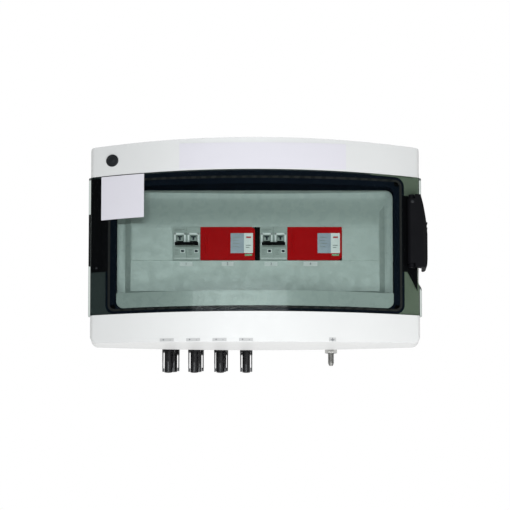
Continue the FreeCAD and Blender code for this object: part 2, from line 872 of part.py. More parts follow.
def make_blanks():
    """Blanking strips that fill the slot on both sides of the devices, each a channel facing the front."""
    strips = []
    for number, (left, right) in enumerate((
        ("-slot_half_width - fit_gap", "breaker_1_x - device_gap"),
        ("devices_end + device_gap", "slot_half_width + fit_gap"),
    ), 1):
        front = "panel_depth + blank_rise"
        whole = box(f"blank_block_{number}", (left, right), (f"{front} - blank_height", front),
                    ("nose_low - fit_gap", "nose_high + fit_gap"))
        inside = box(f"blank_inside_{number}", (f"{left} + blank_wall", f"{right} - blank_wall"),
                     (f"{front} - blank_height - {PAST}", f"{front} - blank_wall"),
                     ("nose_low + blank_wall", "nose_high - blank_wall"))
        strips.append(cut(f"blank_strip_{number}", whole, inside))
    node("blanking_strips", group("blanking_strips", strips))


def make_rail():
    """A top-hat rail, open to the front, screwed to the base's pillars."""
    low, high = "rail_z - rail_width / 2", "rail_z + rail_width / 2"
    web_low, web_high = "rail_z - rail_web / 2", "rail_z + rail_web / 2"
    lip_back = "rail_depth - rail_thick"
    web_front = "rail_back + rail_thick"
    outline = [
        ("rail_depth", low), ("rail_depth", f"{web_low} + rail_thick"),
        (web_front, f"{web_low} + rail_thick"), (web_front, f"{web_high} - rail_thick"),
        ("rail_depth", f"{web_high} - rail_thick"), ("rail_depth", high),
        (lip_back, high), (lip_back, web_high), ("rail_back", web_high),
        ("rail_back", web_low), (lip_back, web_low), (lip_back, low),
    ]
    corners = [(f"-({depth})", z) for depth, z in reversed(outline)]
    strip = prism("rail_strip", "YZ_Plane", corners, "-rail_half_length", "2 * rail_half_length")
    holes = []
    screws = []
    for number, spot in enumerate(RAIL_SCREWS, 1):
        holes.append(rod(f"rail_hole_{number}", "depth", spot, "screw_radius + screw_play",
                         (f"rail_back - {PAST}", "rail_depth")))
        screws.append(screw(f"rail_screw_{number}", spot, "screw_radius", web_front, "screw_length"))
    node("din_rail", cut("din_rail", strip, *holes))
    node("rail_screws", group("rail_screws", screws))


def device_profile(label, left, right, nose):
    """The side outline of a rail device, closed by a fixed claw over the rail's upper lip."""
    lip_high = "rail_z + rail_width / 2 + rail_play"
    lip_low = "rail_z - rail_width / 2 - rail_play"
    claw = "rail_depth - rail_thick - rail_play"
    seat = "rail_depth + rail_play"
    outline = [("device_back", "device_low"), ("shoulder_depth", "device_low")]
    if nose != "shoulder_depth":
        outline += [("shoulder_depth", "nose_low"), (nose, "nose_low"), (nose, "nose_high"),
                    ("shoulder_depth", "nose_high")]
    outline += [
        ("shoulder_depth", "device_high"), ("device_back", "device_high"),
        ("device_back", f"{lip_high} - claw_reach"), (claw, f"{lip_high} - claw_reach"), (claw, lip_high),
        (seat, lip_high), (seat, lip_low), ("device_back", lip_low),
    ]
    corners = [(f"-({depth})", z) for depth, z in reversed(outline)]
    return prism(label, "YZ_Plane", corners, left, f"({right}) - ({left})")


def make_clip(name, left, right):
    """The spring clip that slides down to free a device from the rail, and the slot it runs in."""
    middle = f"(({left}) + ({right})) / 2"
    top = "rail_z - rail_width / 2 + claw_reach"
    rear = "device_back + clip_set_in"
    plate = box(
        name + "_plate", (f"{middle} - clip_width / 2", f"{middle} + clip_width / 2"),
        (rear, f"{rear} + clip_thick"), ("device_low - clip_tab", top),
    )
    eye = box(
        name + "_eye", (f"{middle} - clip_eye_width / 2", f"{middle} + clip_eye_width / 2"),
        (f"{rear} - {PAST}", f"{rear} + clip_thick + {PAST}"),
        ("device_low - clip_tab + clip_eye_edge", "device_low - clip_eye_edge"),
    )
    node(name, cut(name, plate, eye))
    return box(
        name + "_way", (f"{middle} - clip_width / 2 - fit_gap", f"{middle} + clip_width / 2 + fit_gap"),
        (f"device_back - {PAST}", f"{rear} + clip_thick + fit_gap"),
        (f"device_low - {PAST}", f"rail_z - rail_width / 2 + {PAST}"),
    )


def terminal_screws(name, left, count, pitch):
    """Slotted clamp screws, one above and one below each pole, and the wells they sit in."""
    screws = []
    wells = []
    floor = "shoulder_depth - terminal_well"
    top = "shoulder_depth - terminal_sink"
    for number in range(2 * count):
        x = f"{left} + ({number // 2} + 0.5) * {pitch}"
        z = ("device_low + terminal_from_end", "device_high - terminal_from_end")[number % 2]
        blank = rod(f"{name}_screw_{number}", "depth", (x, z), "terminal_radius", (floor, top))
        slot = box(f"{name}_slot_{number}", (f"{x} - terminal_radius", f"{x} + terminal_radius"),
                   (f"{top} - screw_slot_depth", f"{top} + {PAST}"),
                   (f"{z} - screw_slot_width / 2", f"{z} + screw_slot_width / 2"))
        screws.append(cut(f"{name}_slotted_{number}", blank, slot))
        wells.append(rod(f"{name}_well_{number}", "depth", (x, z), "terminal_radius + terminal_play",
                         (floor, f"shoulder_depth + {PAST}")))
    node(name, group(name, screws))
    return wells


def lever(label, left, right, inner):
    """A bar that points forward and down from the toggle's axis, as it lies when the breaker is off."""
    bar = doc.addObject("Part::Box", label)
    bind(bar, "Length", f"({right}) - ({left})")
    bind(bar, "Width", f"lever_length - ({inner})")
    bind(bar, "Height", "lever_thick")
    bar.Placement = FreeCAD.Placement(V(), FreeCAD.Rotation(V(1, 0, 0), LEVER_DIP))
    reach = f"lever_length * cos({LEVER_DIP}) - lever_thick / 2 * sin({LEVER_DIP})"
    drop = f"lever_length * sin({LEVER_DIP}) + lever_thick / 2 * cos({LEVER_DIP})"
    place(bar, left, f"toggle_pivot_depth + {reach}", f"toggle_pivot_z - ({drop})")
    return bar


def make_breaker(number, left):
    """A two-pole breaker: its case, the two levers joined by a bar, its clamp screws and its rail clip."""
    name = f"mcb_{number}"
    right = f"{left} + breaker_width"
    way = make_clip(f"clip_{name}", left, right)
    wells = terminal_screws(f"{name}_terminals", left, 2, "breaker_width / 2")
    case = device_profile(f"{name}_case", f"{left} + device_gap", f"({right}) - device_gap", "nose_depth")
    axis = ("toggle_pivot_depth", "toggle_pivot_z")
    seats = []
    levers = []
    for pole in (0, 1):
        centre = f"{left} + ({pole} + 0.5) * breaker_width / 2"
        ends = (f"{centre} - toggle_width / 2", f"{centre} + toggle_width / 2")
        seats.append(rod(f"{name}_seat_{pole}", "x", axis, "toggle_radius + fit_gap",
                         (f"{ends[0]} - fit_gap", f"{ends[1]} + fit_gap")))
        levers.append(rod(f"{name}_drum_{pole}", "x", axis, "toggle_radius", ends))
        levers.append(lever(f"{name}_lever_{pole}", *ends, "0"))
    tie = lever(f"{name}_tie", f"{left} + tie_inset", f"{right} - tie_inset", "lever_length - tie_length")
    middle = f"{left} + breaker_width / 2"
    groove = box(f"{name}_groove", (f"{middle} - groove_width / 2", f"{middle} + groove_width / 2"),
                 ("nose_depth - groove_depth", f"nose_depth + {PAST}"), ("device_low", "device_high"))
    node(f"{name}_body", cut(f"{name}_body", case, way, groove, *wells, *seats))
    node(f"{name}_toggle", fuse(f"{name}_toggle", *levers, tie))


def make_arrester(number, left):
    """A surge arrester: a base on the rail, a red cartridge with one bevelled corner, and its windows."""
    name = f"spd_{number}"
    right = f"{left} + arrester_width"
    way = make_clip(f"clip_{name}", left, right)
    wells = terminal_screws(f"{name}_terminals", left, 3, "arrester_width / 3")
    case = device_profile(f"{name}_case", f"{left} + device_gap", f"({right}) - device_gap", "shoulder_depth")
    seat_low, seat_high = "nose_low + cartridge_narrowing", "nose_high - cartridge_narrowing"
    socket = ("cartridge_seat", f"shoulder_depth + {PAST}")
    seat = box(f"{name}_seat", (left, right), socket, (seat_low, seat_high))
    node(f"{name}_base", cut(f"{name}_base", case, way, seat, *wells))
    x0, x1 = f"{left} + 2 * cartridge_play", f"{right} - 2 * cartridge_play"
    foot = box(f"{name}_foot", (x0, x1), socket,
               (f"{seat_low} + cartridge_play", f"{seat_high} - cartridge_play"))
    inner = f"{x1} - cartridge_bevel"
    if number == 1:
        right_side = [(x1, "nose_low"), (x1, "nose_high - cartridge_bevel"), (inner, "nose_high")]
    else:
        right_side = [(inner, "nose_low"), (x1, "nose_low + cartridge_bevel"), (x1, "nose_high")]
    corners = [(x0, "nose_low"), *right_side, (x0, "nose_high")]
    front = prism(f"{name}_front", "XZ_Plane", corners, "shoulder_depth + cartridge_play",
                  "nose_depth - shoulder_depth - cartridge_play")
    edge = f"{right} - window_from_side"
    split = f"{edge} - status_width"
    low, high = "rail_z - window_low", "rail_z + window_high"
    panes = [
        ((f"{split} - window_width", split), (low, high)),
        ((split, edge), (low, high)),
        ((f"{split} + indicator_inset", f"{edge} - indicator_inset"),
         (f"{low} - indicator_inset - indicator_height", f"{low} - indicator_inset")),
    ]
    recesses = []
    plates = []
    floor = "nose_depth - window_sink"
    for count, (x, z) in enumerate(panes, 1):
        recesses.append(box(f"{name}_recess_{count}", x, (floor, f"nose_depth + {PAST}"), z))
        plates.append(box(f"{name}_pane_{count}", x, (floor, "nose_depth + window_rise"), z))
    node(f"{name}_cartridge", cut(f"{name}_cartridge", fuse(f"{name}_whole", foot, front), *recesses))
    node(f"{name}_windows", group(f"{name}_windows", plates))


def make_spacer():
    node("spacer", box("spacer", ("spacer_x", "breaker_2_x"), ("rail_depth", "nose_depth - spacer_sink"),
                       ("nose_low", "nose_high")))


def make_door():
    """The smoked shell, bowed in front, with short side walls over the cover's and a scoop for the handle."""
    far = "side_depth + front_bow"
    back = "side_depth - door_side_length"
    outer = common(
        "door_outer",
        door_face("door_outer_face", "0", back, far),
        plan("door_outer_plan", "0", back, half="door_half_width"),
    )
    inner = plan("door_inner_plan", "door_wall", "0", half="door_half_width", edge="door_inner_radius")
    node("door_shell", cut("door_shell", outer, inner, finger_scoop("door_scoop")))
    node("door_seal", common(
        "door_seal",
        cut("door_seal_ring",
            collar_pane("door_seal_outer", "(-seal_inset)", "cover_back", far),
            collar_pane("door_seal_inner", "(-seal_inset - seal_width)", "0", "beyond")),
        skin("door_seal_skin", "door_wall", "door_wall + seal_thick"),
    ))
    left = "-(half_width - sticker_from_side)"
    right = f"{left} + sticker_width"
    low = "door_high - sticker_height"
    patch = prism("sticker_patch", "XZ_Plane", [
        (left, low), (right, f"{low} + sticker_rise"),
        (right, "door_high + sticker_rise"), (left, "door_high"),
    ], "cover_back", "beyond")
    node("door_sticker", common("door_sticker", skin("sticker_skin", "-sticker_thick", "0"), patch))


def make_label():
    low = "door_high + door_high_arch + label_above_door"
    patch = box("label_patch", ("-label_left", "label_right"), ("cover_back", "beyond"),
                (low, f"{low} + label_height"))
    node("top_label", common("top_label", skin("label_skin", "-label_thick", "0"), patch))


def make_hinge():
    """A pin hinge on the left: two fixed knuckles, one moving knuckle between them and one long pin."""
    axis = ("hinge_x", "hinge_depth")
    past = (f"-hinge_low - {PAST}", f"hinge_high + {PAST}")
    fixed = []
    ends = (("-hinge_low", "-hinge_low + hinge_knuckle"), ("hinge_high - hinge_knuckle", "hinge_high"))
    for number, span in enumerate(ends, 1):
        barrel = rod(f"bracket_barrel_{number}", "z", axis, "hinge_radius", span)
        web = box(f"bracket_web_{number}", ("hinge_x", "hinge_x + hinge_radius + fit_gap"),
                  ("hinge_depth - hinge_radius", "hinge_depth + hinge_radius"), span)
        hole = rod(f"bracket_bore_{number}", "z", axis, "pin_radius", past)
        fixed.append(cut(f"bracket_{number}", fuse(f"bracket_whole_{number}", barrel, web), hole))
    node("hinge_bracket", group("hinge_bracket", fixed))
    node("hinge_pin", rod("hinge_pin", "z", axis, "pin_radius", ("-hinge_low", "hinge_high")))
    span = ("-hinge_low + hinge_knuckle + fit_gap", "hinge_high - hinge_knuckle - fit_gap")
    barrel = rod("leaf_barrel", "z", axis, "hinge_radius", span)
    arm = box("leaf_arm", ("-half_width - fit_gap", "hinge_x + leaf_arm_inset"),
              ("hinge_depth", "hinge_depth + leaf_arm_reach"), span)
    hole = rod("leaf_bore", "z", axis, "pin_radius + pin_play", past)
    node("hinge_leaf", cut("hinge_leaf", fuse("leaf_whole", barrel, arm), hole))


def make_side_plates():
    """Thin black plates on the door's inner face: a tall one by the hinge, a pointed one by the latch."""
    inner = "collar_half_width + collar_lip - plate_overlap"
    outer = "half_width - plate_edge"
    left = [(f"-({outer})", "-plate_low"), (f"-({inner})", "-plate_low"),
            (f"-({inner})", "door_high - plate_step"), (f"-({outer})", "door_high - plate_step")]
    beside_scoop = "scoop_x - plate_edge"
    right = [
        (inner, "-plate_low"), (f"{beside_scoop} - plate_point_in", "-plate_low"),
        (beside_scoop, "-plate_point_low"), (beside_scoop, "scoop_top + fit_gap"),
        (outer, "scoop_top + fit_gap"), (outer, "handle_high"), (inner, "handle_high"),
    ]
    plates = []
    for number, corners in enumerate((left, right), 1):
        sheet_of_plate = skin(f"plate_{number}_skin", "door_wall", "door_wall + plate_thick",
                              "door_half_width", "door_inner_radius", "door_inner_radius - plate_thick")
        patch = prism(f"plate_{number}_patch", "XZ_Plane", corners, "cover_back", "beyond")
        plates.append(common(f"plate_{number}", sheet_of_plate, patch))
    node("side_plates", group("side_plates", plates))


def make_handle():
    """A hinged grip round the door's right edge. Its pin is held by two lugs that sit in the grip's ends."""
    axis = ("handle_x", "handle_pivot_depth")
    rear = "-(handle_pivot_depth - handle_skin)"
    low_lug = ("-handle_low", "-handle_low + lug_height")
    high_lug = ("handle_high - lug_height", "handle_high")
    corners = [
        ("handle_x", "-handle_front"),
        ("handle_outer - handle_front_width", "-handle_front"),
        ("handle_outer", "-(handle_front - handle_front_drop)"),
        ("handle_outer", "-handle_back"),
        ("handle_outer - handle_tail_thick", "-handle_back"),
        ("handle_inner", "-(handle_back + handle_tail_bevel)"),
        ("handle_inner", "-(side_depth + handle_skin)"),
        ("door_half_width - handle_front_drop", rear),
        ("handle_x", rear),
    ]
    side = prism("handle_plan", "XY_Plane", corners, "-handle_low", "handle_low + handle_high")
    outline = [
        ("handle_x - handle_knuckle_radius", "-handle_low"),
        ("handle_outer - handle_toe", "-handle_low", "handle_bulge"),
        ("handle_outer - handle_lean", "handle_high"),
        ("handle_x - handle_knuckle_radius", "handle_high"),
    ]
    front_view = prism("handle_front_view", "XZ_Plane", outline, "0", "beyond", [((1,), "handle_round")])
    room = ("handle_x - handle_knuckle_radius", "handle_x + lug_half + fit_gap")
    notches = [
        box("low_notch", room, ("0", "beyond"), (f"{low_lug[0]} - {PAST}", f"{low_lug[1]} + fit_gap")),
        box("high_notch", room, ("0", "beyond"), (f"{high_lug[0]} - fit_gap", f"{high_lug[1]} + {PAST}")),
    ]
    barrel = rod("handle_barrel", "z", axis, "handle_knuckle_radius",
                 (f"{low_lug[1]} + fit_gap", f"{high_lug[0]} - fit_gap"))
    past = (f"-handle_low - {PAST}", f"handle_high + {PAST}")
    hole = rod("handle_bore", "z", axis, "pin_radius + pin_play", past)
    grip = fuse("handle_whole", common("handle_shell", side, front_view), barrel)
    node("handle_grip", cut("handle_grip", grip, *notches, hole))
    solids = []
    for number, span in enumerate((low_lug, high_lug), 1):
        solids.append(box(f"lug_block_{number}", ("handle_x - lug_half", "handle_x + lug_half"),
                          ("side_depth - lug_root", "handle_pivot_depth"), span))
        solids.append(rod(f"lug_eye_{number}", "z", axis, "lug_half", span))
    inside_door = plan("lug_room", "0", "0", half="half_width + 2 * front_edge_radius", edge=None)
    bore = rod("lug_bore", "z", axis, "pin_radius", past)
    node("handle_lugs", cut("handle_lugs", fuse("lugs_whole", *solids), inside_door, bore))
    node("handle_pin", rod("handle_pin", "z", axis, "pin_radius", ("-handle_low", "handle_high")))


def connector_spots():
    """Every connector's x and depth: the front row from left to right, then the rear row."""
    front = [(f"connector_first_x + {step} * connector_pitch", "front_row_depth") for step in range(ROW)]
    rear = [(f"rear_first_x + {step} * rear_pitch", "rear_row_depth") for step in range(ROW)]
    return front + rear


def make_connector(number, x, depth):
    """One panel socket: a body with two flats, a bored sleeve, two latch arms, a thread and a nut inside."""
    name = f"connector_{number}"
    row = "connector_length" if number <= ROW else "connector_length - rear_row_shorter"
    bottom = f"face - ({row})"
    top = "face - ring_seal_thick"
    waist = "face - connector_body_length"
    body = common(
        name + "_body",
        rod(name + "_round", "z", (x, depth), "connector_body_radius", (waist, top)),
        box(name + "_flats", (f"{x} - connector_body_radius", f"{x} + connector_body_radius"),
            (f"{depth} - connector_flat", f"{depth} + connector_flat"), (waist, top)),
    )
    sleeve = rod(name + "_sleeve", "z", (x, depth), "connector_sleeve_radius", (bottom, top))
    thread = rod(name + "_thread", "z", (x, depth), "connector_thread_radius", (waist, "thread_top"))
    arms = []
    for side, word in ((-1, "left"), (1, "right")):
        middle = f"{x} + {side} * arm_out"
        wide = (f"{depth} - arm_width / 2", f"{depth} + arm_width / 2")
        foot = f"{bottom} + arm_hook_up"
        arms.append(box(f"{name}_{word}_arm", (f"{middle} - arm_thick / 2", f"{middle} + arm_thick / 2"),
                        wide, (foot, f"{waist} + {PAST}")))
        ends = [f"{x} + {side} * (arm_out - arm_hook)", f"{x} + {side} * (arm_out + arm_thick / 2)"]
        ends.sort(key=value)
        arms.append(box(f"{name}_{word}_hook", ends, wide, (foot, f"{foot} + arm_hook_height")))
    bore = rod(name + "_bore", "z", (x, depth), "connector_bore_radius",
               (f"{bottom} - {PAST}", f"{bottom} + connector_bore_length"))
    core = rod(name + "_core", "z", (x, depth), "contact_radius", (bottom, f"thread_top + {PAST}"))
    node(name, cut(name, fuse(name + "_whole", body, sleeve, thread, *arms), bore, core))
    contact = rod(name + "_contact", "z", (x, depth), "contact_radius",
                  (f"{bottom} + connector_bore_length", "thread_top"))
    nut = cut(
        name + "_locknut",
        rod(name + "_nut", "z", (x, depth), "locknut_radius", ("inside", "inside + locknut_height")),
        rod(name + "_nut_hole", "z", (x, depth), "connector_thread_radius", ("face", "thread_top")),
    )
    seal = cut(
        name + "_seal",
        rod(name + "_seal_ring", "z", (x, depth), "ring_seal_radius", (top, "face")),
        rod(name + "_seal_hole", "z", (x, depth), "connector_thread_radius", (f"{top} - {PAST}", "inside")),
    )
    return nut, contact, seal


def make_connectors():
    made = [make_connector(number, *spot) for number, spot in enumerate(connector_spots(), 1)]
    for name, parts in zip(("connector_locknuts", "connector_contacts", "connector_seals"), zip(*made)):
        node(name, group(name, parts))


def earth_ring(label, low, high):
    """A washer on the earth stud."""
    spot = ("earth_x", "earth_depth")
    return cut(label, rod(label + "_blank", "z", spot, "washer_radius", (low, high)),
               rod(label + "_hole", "z", spot, "stud_root_radius", (f"{low} - {PAST}", f"{high} + {PAST}")))


def earth_nut(label, low):
    """A hexagonal nut on the earth stud."""
    blank = doc.addObject("Part::Prism", label + "_blank")
    blank.Polygon = 6
    bind(blank, "Circumradius", "earth_nut_flats / sqrt(3)")
    bind(blank, "Height", "earth_nut_height")
    place(blank, "earth_x", "earth_depth", low)
    hole = rod(label + "_hole", "z", ("earth_x", "earth_depth"), "stud_root_radius",
               (f"{low} - {PAST}", f"{low} + earth_nut_height + {PAST}"))
    return cut(label, blank, hole)


def make_earth():
    """The stud with two nuts and two washers below, and a washer, a bar and a nut inside."""
    spot = ("earth_x", "earth_depth")
    tip = "face - stud_length"
    thread = (f"{tip} + stud_point", f"{tip} + stud_point + stud_free")
    node("earth_stud", fuse(
        "earth_stud",
        rod("stud_shaft", "z", spot, "stud_root_radius", (thread[1], "inside + stud_inside")),
        rod("stud_thread", "z", spot, "stud_radius", thread),
        rod("stud_point", "z", spot, "stud_point_radius", (tip, thread[0]), "stud_radius"),
    ))
    first = "face - washer_thick - earth_nut_height"
    node("earth_nuts", group("earth_nuts", [
        earth_nut("earth_nut_1", first),
        earth_nut("earth_nut_2", f"{first} - washer_thick - earth_nut_height"),
        earth_nut("earth_nut_3", "bar_top"),
    ]))
    node("earth_washers", group("earth_washers", [
        earth_ring("earth_ring_1", "face - washer_thick", "face"),
        earth_ring("earth_ring_2", f"{first} - washer_thick", first),
        earth_ring("earth_ring_3", "inside", "inside + inner_washer_thick"),
    ]))
    strip = box("earth_strip", ("earth_x - earth_bar_left", "earth_x + earth_bar_right"),
                ("earth_depth - earth_bar_width / 2", "earth_depth + earth_bar_width / 2"),
                ("inside + inner_washer_thick", "bar_top"))
    hole = rod("earth_strip_hole", "z", spot, "stud_root_radius", ("inside", f"bar_top + {PAST}"))
    node("earth_bar", cut("earth_bar", strip, hole))


def wire(label, points):
    """A round wire along straight runs joined by tangent arcs. points are (x, depth, z) expressions."""
    path = [V(value(x), -value(depth), value(z)) for x, depth, z in points]
    edges = []
    here = path[0]
    for before, corner, after in zip(path, path[1:], path[2:]):
        into = (corner - before).normalize()
        out = (after - corner).normalize()
        turn = into.getAngle(out)
        reach = WIRE_ARC_SHARE * min((corner - before).Length, (after - corner).Length)
        first = corner - into * reach
        last = corner + out * reach
        bend = reach / math.tan(turn / 2)
        middle = corner + (out - into).normalize() * (bend / math.cos(turn / 2) - bend)
        edges.append(Part.LineSegment(here, first).toShape())
        edges.append(Part.Arc(first, middle, last).toShape())
        here = last
    edges.append(Part.LineSegment(here, path[-1]).toShape())
    ring = Part.Wire([Part.Circle(path[0], path[1] - path[0], value("wire_radius")).toShape()])
    thing = doc.addObject("Part::Feature", label)
    thing.Shape = Part.Wire(edges).makePipeShell([ring], True, True)
    return thing


def make_leads():
    """Four leads from the front row into the breakers from below, four from the rear row behind the rail."""
    spots = connector_spots()
    entry = "shoulder_depth - wire_entry"
    behind = "rear_row_depth - 2 * wire_step"
    above = "device_high + wire_above"
    lead_in = []
    lead_out = []
    for number in range(ROW):
        breaker = ("breaker_1_x", "breaker_2_x")[number // 2]
        pole = f"{breaker} + ({number % 2} + 0.5) * breaker_width / 2"
        x, depth = spots[number]
        lead_in.append(wire(f"lead_in_{number}", [
            (x, depth, "thread_top"),
            (x, depth, f"thread_top + wire_rise + {2 * number} * wire_step"),
            (pole, entry, f"device_low - (wire_drop - {number} * wire_step)"),
            (pole, entry, "device_low"),
        ]))
        x, depth = spots[ROW + number]
        lead_out.append(wire(f"lead_out_{number}", [
            (x, depth, "thread_top"),
            (x, depth, f"thread_top + 2 * wire_rise + {2 * number} * wire_step"),
            (pole, behind, f"device_low - (wire_drop - {number + 2} * wire_step)"),
            (pole, behind, above),
            (pole, entry, above),
            (pole, entry, "device_high"),
        ]))
    node("wires_in", group("wires_in", lead_in))
    node("wires_out", group("wires_out", lead_out))


def make_links():
    """Two leads from each breaker to its arrester, and one from each arrester to the earth bar."""
    tap = "shoulder_depth - wire_tap"
    links = []
    grounds = []
    pairs = (("breaker_1_x", "arrester_1_x"), ("breaker_2_x", "arrester_2_x"))
    for number, (breaker, arrester) in enumerate(pairs):
        for pole, way, rise in ((0, 1, "wire_above - wire_radius"), (1, 0, "wire_above / 2")):
            here = f"{breaker} + ({pole} + 0.5) * breaker_width / 2"
            there = f"{arrester} + ({way} + 0.5) * arrester_width / 3"
            links.append(wire(f"link_{number}_{pole}", [
                (here, tap, "device_high"), (here, tap, f"device_high + {rise}"),
                (there, tap, f"device_high + {rise}"), (there, tap, "device_high"),
            ]))
        here = f"{arrester} + 2.5 * arrester_width / 3"
        there = f"earth_x + {number + 1} * earth_bar_right / 3"
        grounds.append(wire(f"ground_{number}", [
            (here, tap, "device_low"),
            (here, tap, f"device_low - (wire_drop - {2 * number} * wire_step)"),
            (there, f"{tap} + 2 * wire_step", f"device_low - (2 * wire_above - {3 * number} * wire_step)"),
            (there, "earth_depth", "bar_top + stud_inside"),
            (there, "earth_depth", "bar_top"),
        ]))
    node("wires_surge", group("wires_surge", links))
    node("wires_earth", group("wires_earth", grounds))


def finish():
    doc.recompute()
    for thing in doc.Objects:
        if "Invalid" in thing.State or "Error" in thing.State:
            raise RuntimeError(f"{thing.Label} failed: {thing.State}")
    os.makedirs("parts", exist_ok=True)
    for name, thing in nodes.items():
        shape = thing.Shape
        if shape.isNull() or not shape.isValid() or not shape.Solids:
            raise RuntimeError(f"{name} has no valid solid")
        shape.exportStep(f"parts/{name}.step")
    print(len(nodes), "nodes written")


make_rear_base()
make_gasket()
make_front_cover()
make_cap()
make_collar()
make_mask()
make_blanks()
make_rail()
make_breaker(1, "breaker_1_x")
make_breaker(2, "breaker_2_x")
make_arrester(1, "arrester_1_x")
make_arrester(2, "arrester_2_x")
make_spacer()
make_door()
make_label()
make_hinge()
make_side_plates()
make_handle()
make_connectors()
make_earth()
make_leads()
make_links()
finish()
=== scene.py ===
"""The looks of a wall-mounted DC combiner box: moulded plastics, a smoked door, devices with their prints,
connectors, plates and a plain studio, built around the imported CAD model. All lengths are in metres."""

import json
import math

import bmesh
import bpy
from mathutils import Matrix, Vector

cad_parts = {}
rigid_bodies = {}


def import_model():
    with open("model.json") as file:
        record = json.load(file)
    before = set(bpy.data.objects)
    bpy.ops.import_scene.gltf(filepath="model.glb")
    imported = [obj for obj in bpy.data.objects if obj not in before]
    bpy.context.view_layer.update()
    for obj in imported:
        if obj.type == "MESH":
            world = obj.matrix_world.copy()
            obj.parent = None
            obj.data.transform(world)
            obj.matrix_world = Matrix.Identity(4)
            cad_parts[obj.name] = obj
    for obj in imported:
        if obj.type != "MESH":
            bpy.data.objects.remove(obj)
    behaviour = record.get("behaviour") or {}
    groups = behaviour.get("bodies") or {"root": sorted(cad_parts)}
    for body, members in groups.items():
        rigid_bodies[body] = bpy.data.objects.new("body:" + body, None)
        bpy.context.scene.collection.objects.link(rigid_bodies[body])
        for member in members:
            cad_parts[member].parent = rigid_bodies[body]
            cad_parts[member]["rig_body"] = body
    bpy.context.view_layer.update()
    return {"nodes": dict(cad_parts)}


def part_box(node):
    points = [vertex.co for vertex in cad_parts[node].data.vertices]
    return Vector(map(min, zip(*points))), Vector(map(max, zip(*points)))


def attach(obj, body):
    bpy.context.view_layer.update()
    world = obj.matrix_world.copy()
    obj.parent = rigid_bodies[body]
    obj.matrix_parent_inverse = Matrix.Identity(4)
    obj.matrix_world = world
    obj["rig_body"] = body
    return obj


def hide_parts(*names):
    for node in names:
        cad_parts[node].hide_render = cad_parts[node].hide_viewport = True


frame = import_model()

MM = 0.001


# Materials


def nodes_of(name):
    """A new node material, with its Principled shader and a texture position in the object's own space."""
    made = bpy.data.materials.new(name)
    made.use_nodes = True
    tree = made.node_tree
    shader = tree.nodes["Principled BSDF"]
    place = tree.nodes.new("ShaderNodeTexCoord")
    return made, tree, shader, place.outputs["Object"]


def noise(tree, place, scale, detail=3.0, roughness=0.55):
    texture = tree.nodes.new("ShaderNodeTexNoise")
    texture.inputs["Scale"].default_value = scale
    texture.inputs["Detail"].default_value = detail
    texture.inputs["Roughness"].default_value = roughness
    tree.links.new(place, texture.inputs["Vector"])
    return texture.outputs["Fac"]


def ramp(tree, factor, low, high):
    """Two values, grey or colour, mixed by a factor."""
    mix = tree.nodes.new("ShaderNodeMix")
    mix.data_type = "RGBA"
    mix.inputs["A"].default_value = (*low, 1)
    mix.inputs["B"].default_value = (*high, 1)
    tree.links.new(factor, mix.inputs["Factor"])
    return mix.outputs["Result"]


def span(tree, factor, low, high):
    """The factor's range turned into another range of numbers."""
    scaled = tree.nodes.new("ShaderNodeMapRange")
    scaled.inputs["From Min"].default_value = 0.3
    scaled.inputs["From Max"].default_value = 0.7
    scaled.inputs["To Min"].default_value = low
    scaled.inputs["To Max"].default_value = high
    tree.links.new(factor, scaled.inputs["Value"])
    return scaled.outputs["Result"]


def bumped(tree, shader, height, strength, distance):
    bump = tree.nodes.new("ShaderNodeBump")
    bump.inputs["Strength"].default_value = strength
    bump.inputs["Distance"].default_value = distance
    tree.links.new(height, bump.inputs["Height"])
    tree.links.new(bump.outputs["Normal"], shader.inputs["Normal"])


def plastic(name, colour, rough=0.45, variation=0.04, grain=1800, bump=0.12, specular=0.5):
    """Moulded plastic: a fine spark-eroded grain, a faint cloudiness in the colour and uneven gloss."""
    made, tree, shader, place = nodes_of(name)
    cloud = noise(tree, place, 22)
    low = tuple(max(0.0, c * (1 - variation)) for c in colour)
    high = tuple(min(1.0, c * (1 + variation)) for c in colour)
    tree.links.new(ramp(tree, cloud, low, high), shader.inputs["Base Color"])
    tree.links.new(span(tree, noise(tree, place, 90), rough - 0.05, rough + 0.05), shader.inputs["Roughness"])
    bumped(tree, shader, noise(tree, place, grain, 2.0), bump, 0.00006)
    shader.inputs["Specular IOR Level"].default_value = specular
    return made


def metal(name, colour, rough=0.28, stretch=(1, 1, 14)):
    """Turned or drawn metal, its fine lines stretched along one way."""
    made, tree, shader, place = nodes_of(name)
    mapping = tree.nodes.new("ShaderNodeMapping")
    mapping.inputs["Scale"].default_value = stretch
    tree.links.new(place, mapping.inputs["Vector"])
    lines = noise(tree, mapping.outputs["Vector"], 420, 4.0)
    shader.inputs["Metallic"].default_value = 1.0
    dark = tuple(c * 0.8 for c in colour)
    tree.links.new(ramp(tree, lines, dark, colour), shader.inputs["Base Color"])
    tree.links.new(span(tree, lines, rough - 0.08, rough + 0.1), shader.inputs["Roughness"])
    bumped(tree, shader, lines, 0.15, 0.00005)
    return made


